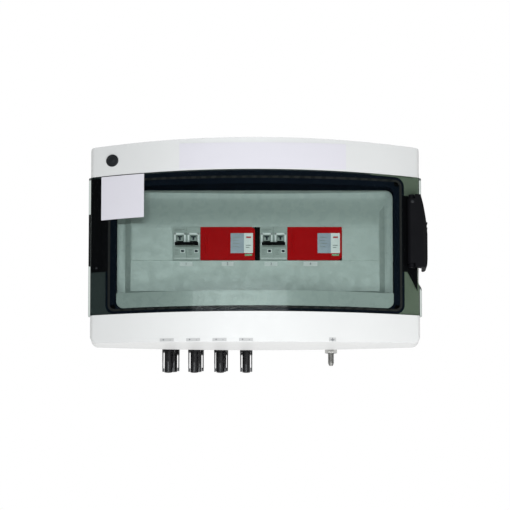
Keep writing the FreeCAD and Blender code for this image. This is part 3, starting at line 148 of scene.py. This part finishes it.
def smoked(name, tint, gloss):
    """Tinted clear plastic: what is behind shows through the tint, under a clear shine."""
    made, tree, shader, place = nodes_of(name)
    shader.inputs["Base Color"].default_value = (*gloss, 1)
    shader.inputs["Roughness"].default_value = 0.06
    through = tree.nodes.new("ShaderNodeBsdfTransparent")
    cloud = noise(tree, place, 6)
    low = tuple(c * 0.97 for c in tint)
    tree.links.new(ramp(tree, cloud, low, tint), through.inputs["Color"])
    shine = tree.nodes.new("ShaderNodeFresnel")
    shine.inputs["IOR"].default_value = 1.22
    mix = tree.nodes.new("ShaderNodeMixShader")
    tree.links.new(shine.outputs["Fac"], mix.inputs["Fac"])
    tree.links.new(through.outputs["BSDF"], mix.inputs[1])
    tree.links.new(shader.outputs["BSDF"], mix.inputs[2])
    out = next(item for item in tree.nodes if item.type == "OUTPUT_MATERIAL")
    tree.links.new(mix.outputs["Shader"], out.inputs["Surface"])
    return made


def paper(name, colour, rough=0.5):
    made, tree, shader, place = nodes_of(name)
    fibre = noise(tree, place, 900, 5.0)
    low = tuple(c * 0.97 for c in colour)
    tree.links.new(ramp(tree, fibre, low, colour), shader.inputs["Base Color"])
    tree.links.new(span(tree, noise(tree, place, 60), rough - 0.06, rough + 0.06), shader.inputs["Roughness"])
    bumped(tree, shader, fibre, 0.06, 0.00003)
    return made


def flange(name, slate, pale, edge):
    """Painted shade on the cover's faces in the recess under the door's sides: slate up to edge along X, and
    a paler painted shade past it.
    """
    made = plastic(name, slate, rough=0.4, specular=0.3)
    tree = made.node_tree
    shader = tree.nodes["Principled BSDF"]
    place = tree.nodes["Texture Coordinate"].outputs["Object"]
    axes = tree.nodes.new("ShaderNodeSeparateXYZ")
    tree.links.new(place, axes.inputs["Vector"])
    fade = tree.nodes.new("ShaderNodeMapRange")
    fade.inputs["From Min"].default_value = edge
    fade.inputs["From Max"].default_value = edge + 1 * MM
    tree.links.new(axes.outputs["X"], fade.inputs["Value"])
    mix = tree.nodes.new("ShaderNodeMix")
    mix.data_type = "RGBA"
    before = shader.inputs["Base Color"].links[0].from_socket
    tree.links.new(before, mix.inputs["A"])
    mix.inputs["B"].default_value = (*pale, 1)
    tree.links.new(fade.outputs["Result"], mix.inputs["Factor"])
    tree.links.new(mix.outputs["Result"], shader.inputs["Base Color"])
    return made


# Painted shade: the cover's recess behind the door is painted dark slate, and a duller grey past x 0.15, both
# far darker than the cover's own plastic.
RECESS_SHADE = flange("recess_shade_plastic", (0.05, 0.06, 0.062), (0.22, 0.25, 0.19), 0.15)
HOUSING = plastic("housing_plastic", (0.57, 0.572, 0.568), rough=0.42, variation=0.025)
MASK = plastic("mask_plastic", (0.51, 0.565, 0.55), rough=0.28, variation=0.015)
BLACK = plastic("black_plastic", (0.004, 0.004, 0.005), rough=0.5, variation=0.2, specular=0.03)
COLLAR = plastic("collar_plastic", (0.008, 0.012, 0.022), rough=0.8, variation=0.2, specular=0.0)
CAP = plastic("cap_plastic", (0.012, 0.013, 0.015), rough=0.4, variation=0.2, specular=0.15)
CONNECTOR = plastic("connector_plastic", (0.006, 0.006, 0.007), rough=0.3, variation=0.2, bump=0.05,
                    specular=0.25)
BREAKER = plastic("breaker_plastic", (0.43, 0.48, 0.46), rough=0.4)
ARRESTER = plastic("arrester_plastic", (0.62, 0.003, 0.006), rough=0.4, variation=0.08, specular=0.03)
WINDOW_BLUE = plastic("window_blue", (0.31, 0.36, 0.46), rough=0.25, bump=0.03)
WINDOW_WHITE = plastic("window_white", (0.97, 0.97, 1.0), rough=0.3, bump=0.03)
GREEN = plastic("indicator_green", (0.03, 0.26, 0.04), rough=0.2, bump=0.02)
INK = plastic("print_ink", (0.03, 0.04, 0.05), rough=0.6, bump=0.02, specular=0.2)
GREY_INK = plastic("grey_ink", (0.25, 0.28, 0.28), rough=0.6, bump=0.02)
RED_INK = plastic("red_ink", (0.70, 0.05, 0.05), rough=0.6, bump=0.02)
RUBBER = plastic("rubber", (0.02, 0.02, 0.02), rough=0.75, grain=900, bump=0.3, specular=0.2)
STEEL = metal("zinc_steel", (0.62, 0.62, 0.60))
THREAD = metal("stud_steel", (0.26, 0.26, 0.25), rough=0.4)
BRASS = metal("brass", (0.78, 0.58, 0.26))
TINNED = metal("tinned_copper", (0.72, 0.70, 0.66))
LABEL = paper("label_paper", (0.57, 0.555, 0.60))
TAG = paper("tag_paper", (0.90, 0.90, 0.92))
GREY_TAG = paper("grey_tag", (0.40, 0.40, 0.40))
DOOR = smoked("smoked_plastic", (0.79, 0.826, 0.811), (0.02, 0.025, 0.025))
WIRE = plastic("wire_black", (0.02, 0.02, 0.02), rough=0.5)
EARTH_WIRE = plastic("wire_earth", (0.35, 0.48, 0.03), rough=0.5)

# The side plates are black plastic; where the right plate reaches below the handle, its black is a dark sheet
# standing in for the shade in the recess there.
FINISH = {
    "rear_base": HOUSING, "front_cover": HOUSING, "mask": MASK, "blanking_strips": MASK, "collar": COLLAR,
    "corner_cap": BLACK, "side_plates": BLACK, "handle_grip": BLACK, "handle_lugs": BLACK, "spacer": BLACK,
    "hinge_bracket": BLACK, "hinge_leaf": BLACK, "mcb_1_body": BREAKER, "mcb_2_body": BREAKER,
    "mcb_1_toggle": BLACK, "mcb_2_toggle": BLACK, "spd_1_base": BREAKER, "spd_2_base": BREAKER,
    "spd_1_cartridge": ARRESTER, "spd_2_cartridge": ARRESTER, "spd_1_windows": WINDOW_BLUE,
    "spd_2_windows": WINDOW_BLUE, "door_shell": DOOR, "door_sticker": LABEL, "top_label": LABEL,
    "base_gasket": RUBBER, "door_seal": RUBBER, "connector_seals": RUBBER, "connector_locknuts": BLACK,
    "connector_contacts": TINNED, "earth_bar": BRASS, "collar_screws": BLACK, "mask_screws": MASK,
    "wires_in": WIRE, "wires_out": WIRE, "wires_surge": WIRE, "wires_earth": EARTH_WIRE,
}
for cad_name, cad_object in frame["nodes"].items():
    if cad_name.startswith("connector_") and cad_name[-1].isdigit():
        finish = CONNECTOR
    elif cad_name.startswith("clip_"):
        finish = BLACK
    else:
        finish = FINISH.get(cad_name, STEEL)
    cad_object.data.materials.clear()
    cad_object.data.materials.append(finish)


# Building


def body_of_node(node):
    return frame["nodes"][node]["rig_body"]


def add_piece(name, bm, body, material, smooth_angle=35, bevel=0.0, segments=2):
    """Turns a bmesh into a piece that rides on a body, with softened edges."""
    mesh = bpy.data.meshes.new(name)
    bmesh.ops.recalc_face_normals(bm, faces=bm.faces)
    bm.to_mesh(mesh)
    bm.free()
    piece = bpy.data.objects.new(name, mesh)
    bpy.context.scene.collection.objects.link(piece)
    mesh.materials.append(material)
    mesh.shade_smooth()
    if bevel:
        softened = piece.modifiers.new("soft_edges", "BEVEL")
        softened.width = bevel
        softened.segments = segments
        softened.limit_method = "ANGLE"
        softened.angle_limit = math.radians(smooth_angle)
        softened.harden_normals = True
    else:
        mesh.set_sharp_from_angle(angle=math.radians(smooth_angle))
    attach(piece, body)
    return piece


def refined(node, name, bevel, segments=2, paints=(), pick=None):
    """A piece that stands for a CAD node: the same form, with its flat faces joined and its edges rounded.
    Where there are more paints, pick turns the middle of a face into the number of its material."""
    source = frame["nodes"][node].data
    bm = bmesh.new()
    corners = [bm.verts.new(vertex.co) for vertex in source.vertices]
    for polygon in source.polygons:
        try:
            bm.faces.new([corners[index] for index in polygon.vertices])
        except ValueError:
            continue
    bmesh.ops.remove_doubles(bm, verts=bm.verts, dist=2e-6)
    bmesh.ops.dissolve_limit(bm, angle_limit=math.radians(0.4), verts=bm.verts, edges=bm.edges)
    if pick:
        for face in bm.faces:
            face.material_index = pick(face.calc_center_median())
    piece = add_piece(name, bm, body_of_node(node), source.materials[0], 28, bevel, segments)
    for paint in paints:
        piece.data.materials.append(paint)
    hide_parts(node)
    return piece


def block(bm, low, high):
    """A plain block between two corners, added to the bmesh."""
    size = [b - a for a, b in zip(low, high)]
    middle = [(a + b) / 2 for a, b in zip(low, high)]
    grown = Matrix.Translation(middle) @ Matrix.Diagonal((*size, 1))
    bmesh.ops.create_cube(bm, size=1.0, matrix=grown)


def on_face(bm, face, x, z, rise, root):
    """A block on a flat front face, standing off it by rise and reaching root into it."""
    block(bm, (x[0], face - rise, z[0]), (x[1], face + root, z[1]))


def circle(centre, radius, turns):
    """Points round a circle, as pairs."""
    for step in range(turns):
        angle = 2 * math.pi * step / turns
        yield centre[0] + radius * math.cos(angle), centre[1] + radius * math.sin(angle)


def join_rings(bm, rings):
    """Joins each ring of vertices to the next one and closes both ends."""
    count = len(rings[0])
    for before, after in zip(rings, rings[1:]):
        for step in range(count):
            following = (step + 1) % count
            bm.faces.new((before[step], before[following], after[following], after[step]))
    bm.faces.new(rings[0][::-1])
    bm.faces.new(rings[-1])


def lathe(bm, profile, centre, turns=40):
    """Spins (radius, z) points about the vertical through centre."""
    join_rings(bm, [
        [bm.verts.new((x, y, z)) for x, y in circle(centre, radius, turns)]
        for radius, z in profile
    ])


# The bow of the front


HALF = -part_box("front_cover")[0][0]
FRONT = -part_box("door_shell")[0][1]
SAG = 43 * MM
BOW = (HALF * HALF + SAG * SAG) / (2 * SAG)
CENTRE = FRONT - BOW


def on_bow(x, z, rise):
    """The point on the bowed surface at this x, lifted off it by rise."""
    turn = math.asin(x / BOW)
    return Vector(((BOW + rise) * math.sin(turn), -(CENTRE + (BOW + rise) * math.cos(turn)), z))


def bowed_plate(bm, x, z, rise, thick, steps=10):
    """A thin plate that follows the bow, from x[0] to x[1] and z[0] to z[1]."""
    rings = []
    for step in range(steps + 1):
        here = x[0] + (x[1] - x[0]) * step / steps
        rings.append([
            bm.verts.new(on_bow(here, z[0], rise)), bm.verts.new(on_bow(here, z[1], rise)),
            bm.verts.new(on_bow(here, z[1], rise + thick)), bm.verts.new(on_bow(here, z[0], rise + thick)),
        ])
    join_rings(bm, rings)


def bowed_disc(bm, centre, profile, turns=36):
    """A round form on the bow from (radius, rise) points, from its rim inwards."""
    join_rings(bm, [
        [bm.verts.new(on_bow(x, z, rise)) for x, z in circle(centre, radius, turns)]
        for radius, rise in profile
    ])


def arc_plate(bm, x, axis, radii, angles, steps=8):
    """A thin plate bent about an axis along X. Angles run up from the front."""
    rings = []
    for step in range(steps + 1):
        angle = math.radians(angles[0] + (angles[1] - angles[0]) * step / steps)
        ring = []
        for here, radius in ((x[0], radii[0]), (x[1], radii[0]), (x[1], radii[1]), (x[0], radii[1])):
            y = axis[0] - radius * math.cos(angle)
            z = axis[1] + radius * math.sin(angle)
            ring.append(bm.verts.new((here, y, z)))
        rings.append(ring)
    join_rings(bm, rings)


def figure(name, text, place, size, body, material):
    """A plain number or sign, facing the front, and turned with the bow where it stands on it."""
    curve = bpy.data.curves.new(name, "FONT")
    curve.body = text
    curve.size = size
    curve.extrude = 0.05 * MM
    curve.align_x = "CENTER"
    curve.align_y = "CENTER"
    curve.materials.append(material)
    piece = bpy.data.objects.new(name, curve)
    bpy.context.scene.collection.objects.link(piece)
    piece.location = place
    on_the_bow = place[1] < -FRONT * 0.8
    piece.rotation_euler = (math.pi / 2, 0, math.asin(place[0] / BOW) if on_the_bow else 0)
    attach(piece, body)


# Shells


DOOR_REAR = 86 * MM
RECESS = 3 * MM


def under_door(middle):
    """Which of the cover's faces lie in the recess behind the door."""
    low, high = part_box("door_shell")
    inside = low[2] < middle.z < high[2] and abs(middle.x) < HALF + 1 * MM
    sunk = -middle.y < CENTRE + math.sqrt(BOW * BOW - middle.x * middle.x) - RECESS
    return 1 if inside and sunk and -middle.y > DOOR_REAR else 0


# The cover's faces in the recess behind the door take the painted shade as their second paint.
refined("front_cover", "cover", 1.0 * MM, paints=(RECESS_SHADE,), pick=under_door)
refined("door_shell", "door", 0.8 * MM)
refined("rear_base", "base", 0.8 * MM)
refined("collar", "inner_frame", 0.6 * MM)
refined("mask", "inner_cover", 0.8 * MM)
refined("handle_grip", "grip", 1.6 * MM, segments=3)
refined("handle_lugs", "grip_lugs", 0.5 * MM)
refined("spacer", "spacer_block", 0.6 * MM)
refined("blanking_strips", "blanks", 0.3 * MM)
refined("earth_nuts", "stud_nuts", 0.5 * MM)
refined("earth_washers", "stud_washers", 0.25 * MM)
for number in range(1, 9):
    refined(f"connector_{number}", f"socket_{number}", 0.3 * MM)


def make_cap():
    """The round cap in the cover's upper corner, with a raised rim and a dish round its middle."""
    low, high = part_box("corner_cap")
    centre = ((low[0] + high[0]) / 2, (low[2] + high[2]) / 2)
    edge = (high[2] - low[2]) / 2
    bm = bmesh.new()
    rings = [
        (edge, -0.4), (edge, 0.5), (edge - 0.5 * MM, 0.9), (edge - 1.6 * MM, 1.0), (edge - 2.2 * MM, 0.5),
        (edge - 5.5 * MM, 0.4), (edge - 6.2 * MM, 0.7), (0.3 * MM, 0.8),
    ]
    bowed_disc(bm, centre, [(radius, rise * MM) for radius, rise in rings])
    cap = add_piece("cap", bm, body_of_node("corner_cap"), CAP)
    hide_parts("corner_cap")


make_cap()


# Breakers and arresters


# The toggles' axis, as y and z, and the radius of their drums.
AXIS = (-93.5 * MM, 7.9 * MM)
DRUM = 9 * MM

SIDES_OF_A_BLOCK = 6

# How far a print stands off the face under it, and how far it reaches into it.
PRINT = 0.08 * MM
ROOT = 0.1 * MM


def make_breaker(number):
    """The toggles with their marks, and the plates and prints on the breaker's face."""
    case = f"mcb_{number}_body"
    low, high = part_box(case)
    face = low[1]
    refined(case, f"breaker_{number}", 0.4 * MM)

    def pick(middle):
        return 1 if math.hypot(middle.y - AXIS[0], middle.z - AXIS[1]) < DRUM + 0.1 * MM else 0

    refined(f"mcb_{number}_toggle", f"breaker_{number}_levers", 0.5 * MM, paints=(BREAKER,), pick=pick)
    pole = (high[0] - low[0]) / 2
    marks = bmesh.new()
    rims = bmesh.new()
    inks = bmesh.new()
    prints = bmesh.new()
    for step in (0.5, 1.5):
        middle = low[0] + step * pole
        radii = (DRUM - 0.2 * MM, DRUM + 0.15 * MM)
        arc_plate(marks, (middle - 3.1 * MM, middle + 3.1 * MM), AXIS, radii, (21, 34))
        arc_plate(marks, (middle - 1.2 * MM, middle + 1.2 * MM), AXIS, radii, (-3, 21))
        for side in (-1, 1):
            edge = middle + side * 6.4 * MM
            upright = (edge - 1.2 * MM, edge + 1.2 * MM)
            on_face(rims, face, upright, (1.2 * MM, 17 * MM), 0.7 * MM, 2 * ROOT)
        lintel = (middle - 7.6 * MM, middle + 7.6 * MM)
        on_face(rims, face, lintel, (14.9 * MM, 17.2 * MM), 0.7 * MM, 2 * ROOT)
        flag = (middle + 1.6 * MM, middle + 5.6 * MM)
        on_face(inks, face, flag, (-8.2 * MM, -5 * MM), 0.25 * MM, ROOT)
        border = (middle + 0.8 * MM, middle + 6.4 * MM)
        on_face(rims, face, border, (-9 * MM, -4.2 * MM), 0.2 * MM, ROOT)
        for line in range(3):
            top = (-5 - 2.6 * line) * MM
            bar = (middle - 6.6 * MM, middle - (1.6 + line % 2) * MM)
            on_face(prints, face, bar, (top - 0.8 * MM, top), PRINT, ROOT)
    for line in range(2):
        top = (22.6 - 2.2 * line) * MM
        bar = (low[0] + 2 * MM, low[0] + (15 - 3 * line) * MM)
        on_face(prints, face, bar, (top - 0.9 * MM, top), PRINT, ROOT)
    ledge = (low[0] + 1 * MM, high[0] - 1 * MM)
    on_face(rims, face, ledge, (-16.5 * MM, -15.7 * MM), 0.4 * MM, 2 * ROOT)
    body = body_of_node(case)
    add_piece(f"breaker_{number}_toggle_marks", marks, body_of_node(f"mcb_{number}_toggle"), INK)
    add_piece(f"breaker_{number}_rims", rims, body, WINDOW_WHITE, bevel=0.2 * MM)
    add_piece(f"breaker_{number}_flags", inks, body, INK)
    add_piece(f"breaker_{number}_prints", prints, body, GREY_INK)


def make_arrester(number):
    """The bevelled cartridge, its tinted, white and green windows, and the small marks on it."""
    refined(f"spd_{number}_cartridge", f"arrester_{number}", 0.5 * MM)
    windows = f"spd_{number}_windows"
    low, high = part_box(windows)
    split = high[0] - 11.8 * MM
    foot = low[2] + 3.6 * MM
    panes = bmesh.new()
    for left, right, bottom, top in (
        (low[0], split, foot, high[2]),
        (split, high[0], foot, high[2]),
        (split + 1 * MM, high[0] - 1 * MM, low[2], foot - 1 * MM),
    ):
        block(panes, (left, low[1], bottom), (right, high[1], top))
    for count, side in enumerate(panes.faces):
        side.material_index = count // SIDES_OF_A_BLOCK
    body = body_of_node(windows)
    glazing = add_piece(f"arrester_{number}_windows", panes, body, WINDOW_BLUE, bevel=0.12 * MM)
    glazing.data.materials.append(WINDOW_WHITE)
    glazing.data.materials.append(GREEN)
    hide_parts(windows)
    face = low[1]
    red = bmesh.new()
    on_face(red, face, (split + 3 * MM, split + 9.2 * MM), (10.4 * MM, 12.6 * MM), PRINT, ROOT)
    add_piece(f"arrester_{number}_red_mark", red, body, RED_INK)
    grey = bmesh.new()
    for top, width in ((1.4, 6.6), (-1.4, 4.8)):
        bar = (split + 2.4 * MM, split + (2.4 + width) * MM)
        on_face(grey, face, bar, ((top - 1) * MM, top * MM), PRINT, ROOT)
    for line in range(4):
        bar = (low[0] + 3 * MM, low[0] + (12 - 2 * (line % 2)) * MM)
        on_face(grey, face, bar, ((11 - 4 * line) * MM, (11.7 - 4 * line) * MM), PRINT, ROOT)
    add_piece(f"arrester_{number}_marks", grey, body, GREY_INK)
    ribs = bmesh.new()
    shell_low, shell_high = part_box(f"spd_{number}_cartridge")
    for line in range(3):
        left = shell_low[0] + (4 + 2.4 * line) * MM
        height = (shell_low[2] + 9 * MM, shell_high[2] - 9 * MM)
        on_face(ribs, shell_low[1], (left, left + 1 * MM), height, 0.35 * MM, 0.3 * MM)
    add_piece(f"arrester_{number}_grip_ribs", ribs, body, ARRESTER, bevel=0.25 * MM)


def make_tags():
    """Plain white tags with numbers, one under each device, on the mask's raised panel."""
    body = body_of_node("mask")
    face = -97 * MM
    spans = ((-98.2, -81.3), (-43.6, -28), (12.4, 29.3), (63, 81.3))
    tags = bmesh.new()
    for number, (left, right) in enumerate(spans, 1):
        on_face(tags, face, (left * MM, right * MM), (-26 * MM, -20.4 * MM), 0.3 * MM, 2 * ROOT)
        spot = ((left + right) / 2 * MM, face - 0.32 * MM, -23.2 * MM)
        figure(f"device_number_{number}", str(number), spot, 5 * MM, body, INK)
    add_piece("device_tags", tags, body, TAG, bevel=0.1 * MM)


BOTTOM_ARCH = 3.7 * MM
TAG_THICK = 0.25 * MM


def cover_bottom(x):
    """The height of the cover's bottom edge at this x."""
    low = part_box("front_cover")[0][2]
    return low + BOTTOM_ARCH * (x / HALF) ** 2


def make_socket_tags():
    """Small tags on the cover's lower edge: plus and minus over each front connector, and the earth sign."""
    body = body_of_node("front_cover")
    tags = bmesh.new()
    for number in range(1, 5):
        low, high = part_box(f"connector_{number}")
        middle = (low[0] + high[0]) / 2
        bottom = cover_bottom(middle) + 0.9 * MM
        width = (middle - 9 * MM, middle + 9 * MM)
        bowed_plate(tags, width, (bottom, bottom + 4 * MM), -ROOT, TAG_THICK)
        for side, text, word in ((-1, "+", "plus"), (1, "-", "minus")):
            spot = on_bow(middle + side * 4.4 * MM, bottom + 2 * MM, 0.2 * MM)
            figure(f"socket_{word}_{number}", text, spot, 5 * MM, body, INK)
    low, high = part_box("earth_stud")
    middle = (low[0] + high[0]) / 2
    bottom = cover_bottom(middle) + 0.9 * MM
    width = (middle - 4.5 * MM, middle + 4.5 * MM)
    bowed_plate(tags, width, (bottom, bottom + 5 * MM), -ROOT, TAG_THICK)
    add_piece("socket_tags", tags, body, GREY_TAG)
    sign = bmesh.new()
    stem = (middle - 0.3 * MM, middle + 0.3 * MM)
    bowed_plate(sign, stem, (bottom + 2.6 * MM, bottom + 4.5 * MM), 0.1 * MM, 0.15 * MM)
    for line, half in enumerate((2.6, 1.7, 0.8)):
        top = bottom + (2.6 - 0.9 * line) * MM
        width = (middle - half * MM, middle + half * MM)
        bowed_plate(sign, width, (top - 0.45 * MM, top), 0.1 * MM, 0.15 * MM)
    add_piece("earth_sign", sign, body, INK)


def make_stud():
    """The earth stud with its thread as fine ridges."""
    low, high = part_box("earth_stud")
    centre = ((low[0] + high[0]) / 2, (low[1] + high[1]) / 2)
    crest = (high[0] - low[0]) / 2 - 0.05 * MM
    root = 3.4 * MM
    profile = [(2.2 * MM, low[2]), (2.5 * MM, low[2] + 0.3 * MM), (root, low[2] + 2.4 * MM)]
    pitch = 1.25 * MM
    ridges = 11
    start = low[2] + 3 * MM
    for step in range(ridges):
        foot = start + step * pitch
        profile += [(root, foot), (crest, foot + 0.45 * pitch), (crest, foot + 0.6 * pitch)]
    profile += [(root, start + ridges * pitch), (root, high[2] - 0.6 * MM), (root - 0.6 * MM, high[2])]
    bm = bmesh.new()
    lathe(bm, profile, centre)
    stud = add_piece("stud_thread", bm, body_of_node("earth_stud"), THREAD, smooth_angle=25)
    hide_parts("earth_stud")


def make_rivet():
    """The rivet in the door, below the plate over the hinge."""
    rivet = bmesh.new()
    profile = [(1.5 * MM, -0.2 * MM), (1.5 * MM, 0.2 * MM), (0.9 * MM, 0.45 * MM), (0.2 * MM, 0.5 * MM)]
    bowed_disc(rivet, (-206 * MM, -30.5 * MM), profile)
    add_piece("door_rivet", rivet, body_of_node("door_shell"), CAP)


def make_grip_details():
    """The ribs on the grip's side, and the screw on its face."""
    body = body_of_node("handle_grip")
    low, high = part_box("handle_grip")
    ribs = bmesh.new()
    for line in range(6):
        foot = (-8 + 7 * line) * MM
        block(ribs, (high[0] - 1.4 * MM, -112 * MM, foot), (high[0] + 0.1 * MM, -84 * MM, foot + 2.6 * MM))
    add_piece("grip_ribs", ribs, body, BLACK, bevel=0.5 * MM)
    head = bmesh.new()
    join_rings(head, [
        [head.verts.new((x * MM, low[1] - rise * MM, z * MM)) for x, z in circle((204.5, 55), radius, 24)]
        for radius, rise in ((2.2, -0.3), (2.2, 0.2), (1.6, 0.45), (0.6, 0.45), (0.4, 0.1))
    ])
    add_piece("grip_screw", head, body, CAP)


make_breaker(1)
make_breaker(2)
make_arrester(1)
make_arrester(2)
make_tags()
make_socket_tags()
make_stud()
make_rivet()
make_grip_details()


# Camera, light and surroundings


def aim(thing, target):
    way = Vector(target) - thing.location
    thing.rotation_mode = "QUATERNION"
    thing.rotation_quaternion = way.to_track_quat("-Z", "Y")


def make_camera():
    """A long lens straight in front and a little below, as wide as the frame needs."""
    distance = 4.6
    width = 0.663
    rise = math.radians(-9)
    target = Vector((0, -0.105, -0.01265))
    lens = bpy.data.cameras.new("camera")
    lens.sensor_width = 36
    lens.lens = lens.sensor_width * distance / width
    camera = bpy.data.objects.new("camera", lens)
    bpy.context.scene.collection.objects.link(camera)
    camera.location = target + distance * Vector((0, -math.cos(rise), math.sin(rise)))
    aim(camera, target)
    bpy.context.scene.camera = camera


def area_light(name, place, target, size, power, colour=(1, 1, 1)):
    lamp = bpy.data.lights.new(name, "AREA")
    lamp.shape = "RECTANGLE"
    lamp.size, lamp.size_y = size
    lamp.energy = power
    lamp.color = colour
    light = bpy.data.objects.new(name, lamp)
    bpy.context.scene.collection.objects.link(light)
    light.location = place
    aim(light, target)


def shade_sky(tree, colour):
    """White behind the object, and in front of it grey above and paler below."""
    place = tree.nodes.new("ShaderNodeTexCoord")
    axes = tree.nodes.new("ShaderNodeSeparateXYZ")
    tree.links.new(place.outputs["Generated"], axes.inputs["Vector"])
    mixes = []
    for axis, reach, low, high in (
        ("Z", 0.7, (0.82, 0.82, 0.82), (0.20, 0.21, 0.21)),
        ("Y", 0.12, None, (1, 1, 1)),
    ):
        fade = tree.nodes.new("ShaderNodeMapRange")
        fade.inputs["From Min"].default_value = -reach
        fade.inputs["From Max"].default_value = reach
        tree.links.new(axes.outputs[axis], fade.inputs["Value"])
        mix = tree.nodes.new("ShaderNodeMix")
        mix.data_type = "RGBA"
        tree.links.new(fade.outputs["Result"], mix.inputs["Factor"])
        if low:
            mix.inputs["A"].default_value = (*low, 1)
        else:
            tree.links.new(mixes[-1].outputs["Result"], mix.inputs["A"])
        mix.inputs["B"].default_value = (*high, 1)
        mixes.append(mix)
    tree.links.new(mixes[-1].outputs["Result"], colour)


def make_studio():
    bm = bmesh.new()
    bmesh.ops.create_grid(bm, x_segments=1, y_segments=1, size=12)
    mesh = bpy.data.meshes.new("floor")
    bm.to_mesh(mesh)
    bm.free()
    floor = bpy.data.objects.new("floor", mesh)
    bpy.context.scene.collection.objects.link(floor)
    floor.location.z = -1.3
    mesh.materials.append(paper("floor_paper", (0.86, 0.86, 0.86), 0.8))
    world = bpy.data.worlds.new("studio")
    bpy.context.scene.world = world
    world.use_nodes = True
    sky = world.node_tree.nodes["Background"]
    sky.inputs["Strength"].default_value = 1.0
    shade_sky(world.node_tree, sky.inputs["Color"])
    bpy.context.scene.view_settings.view_transform = "Standard"
    centre = (0, -0.1, 0)
    area_light("key", (0.3, -1.0, -0.42), centre, (1.2, 0.5), 7)
    area_light("strip", (-0.19, -2.44, 0.26), centre, (1.2, 0.06), 22, (0.92, 0.97, 1))
    area_light("lift", (0, -0.3, -0.95), centre, (1.2, 0.6), 7)


make_camera()
make_studio()

bpy.context.view_layer.update()
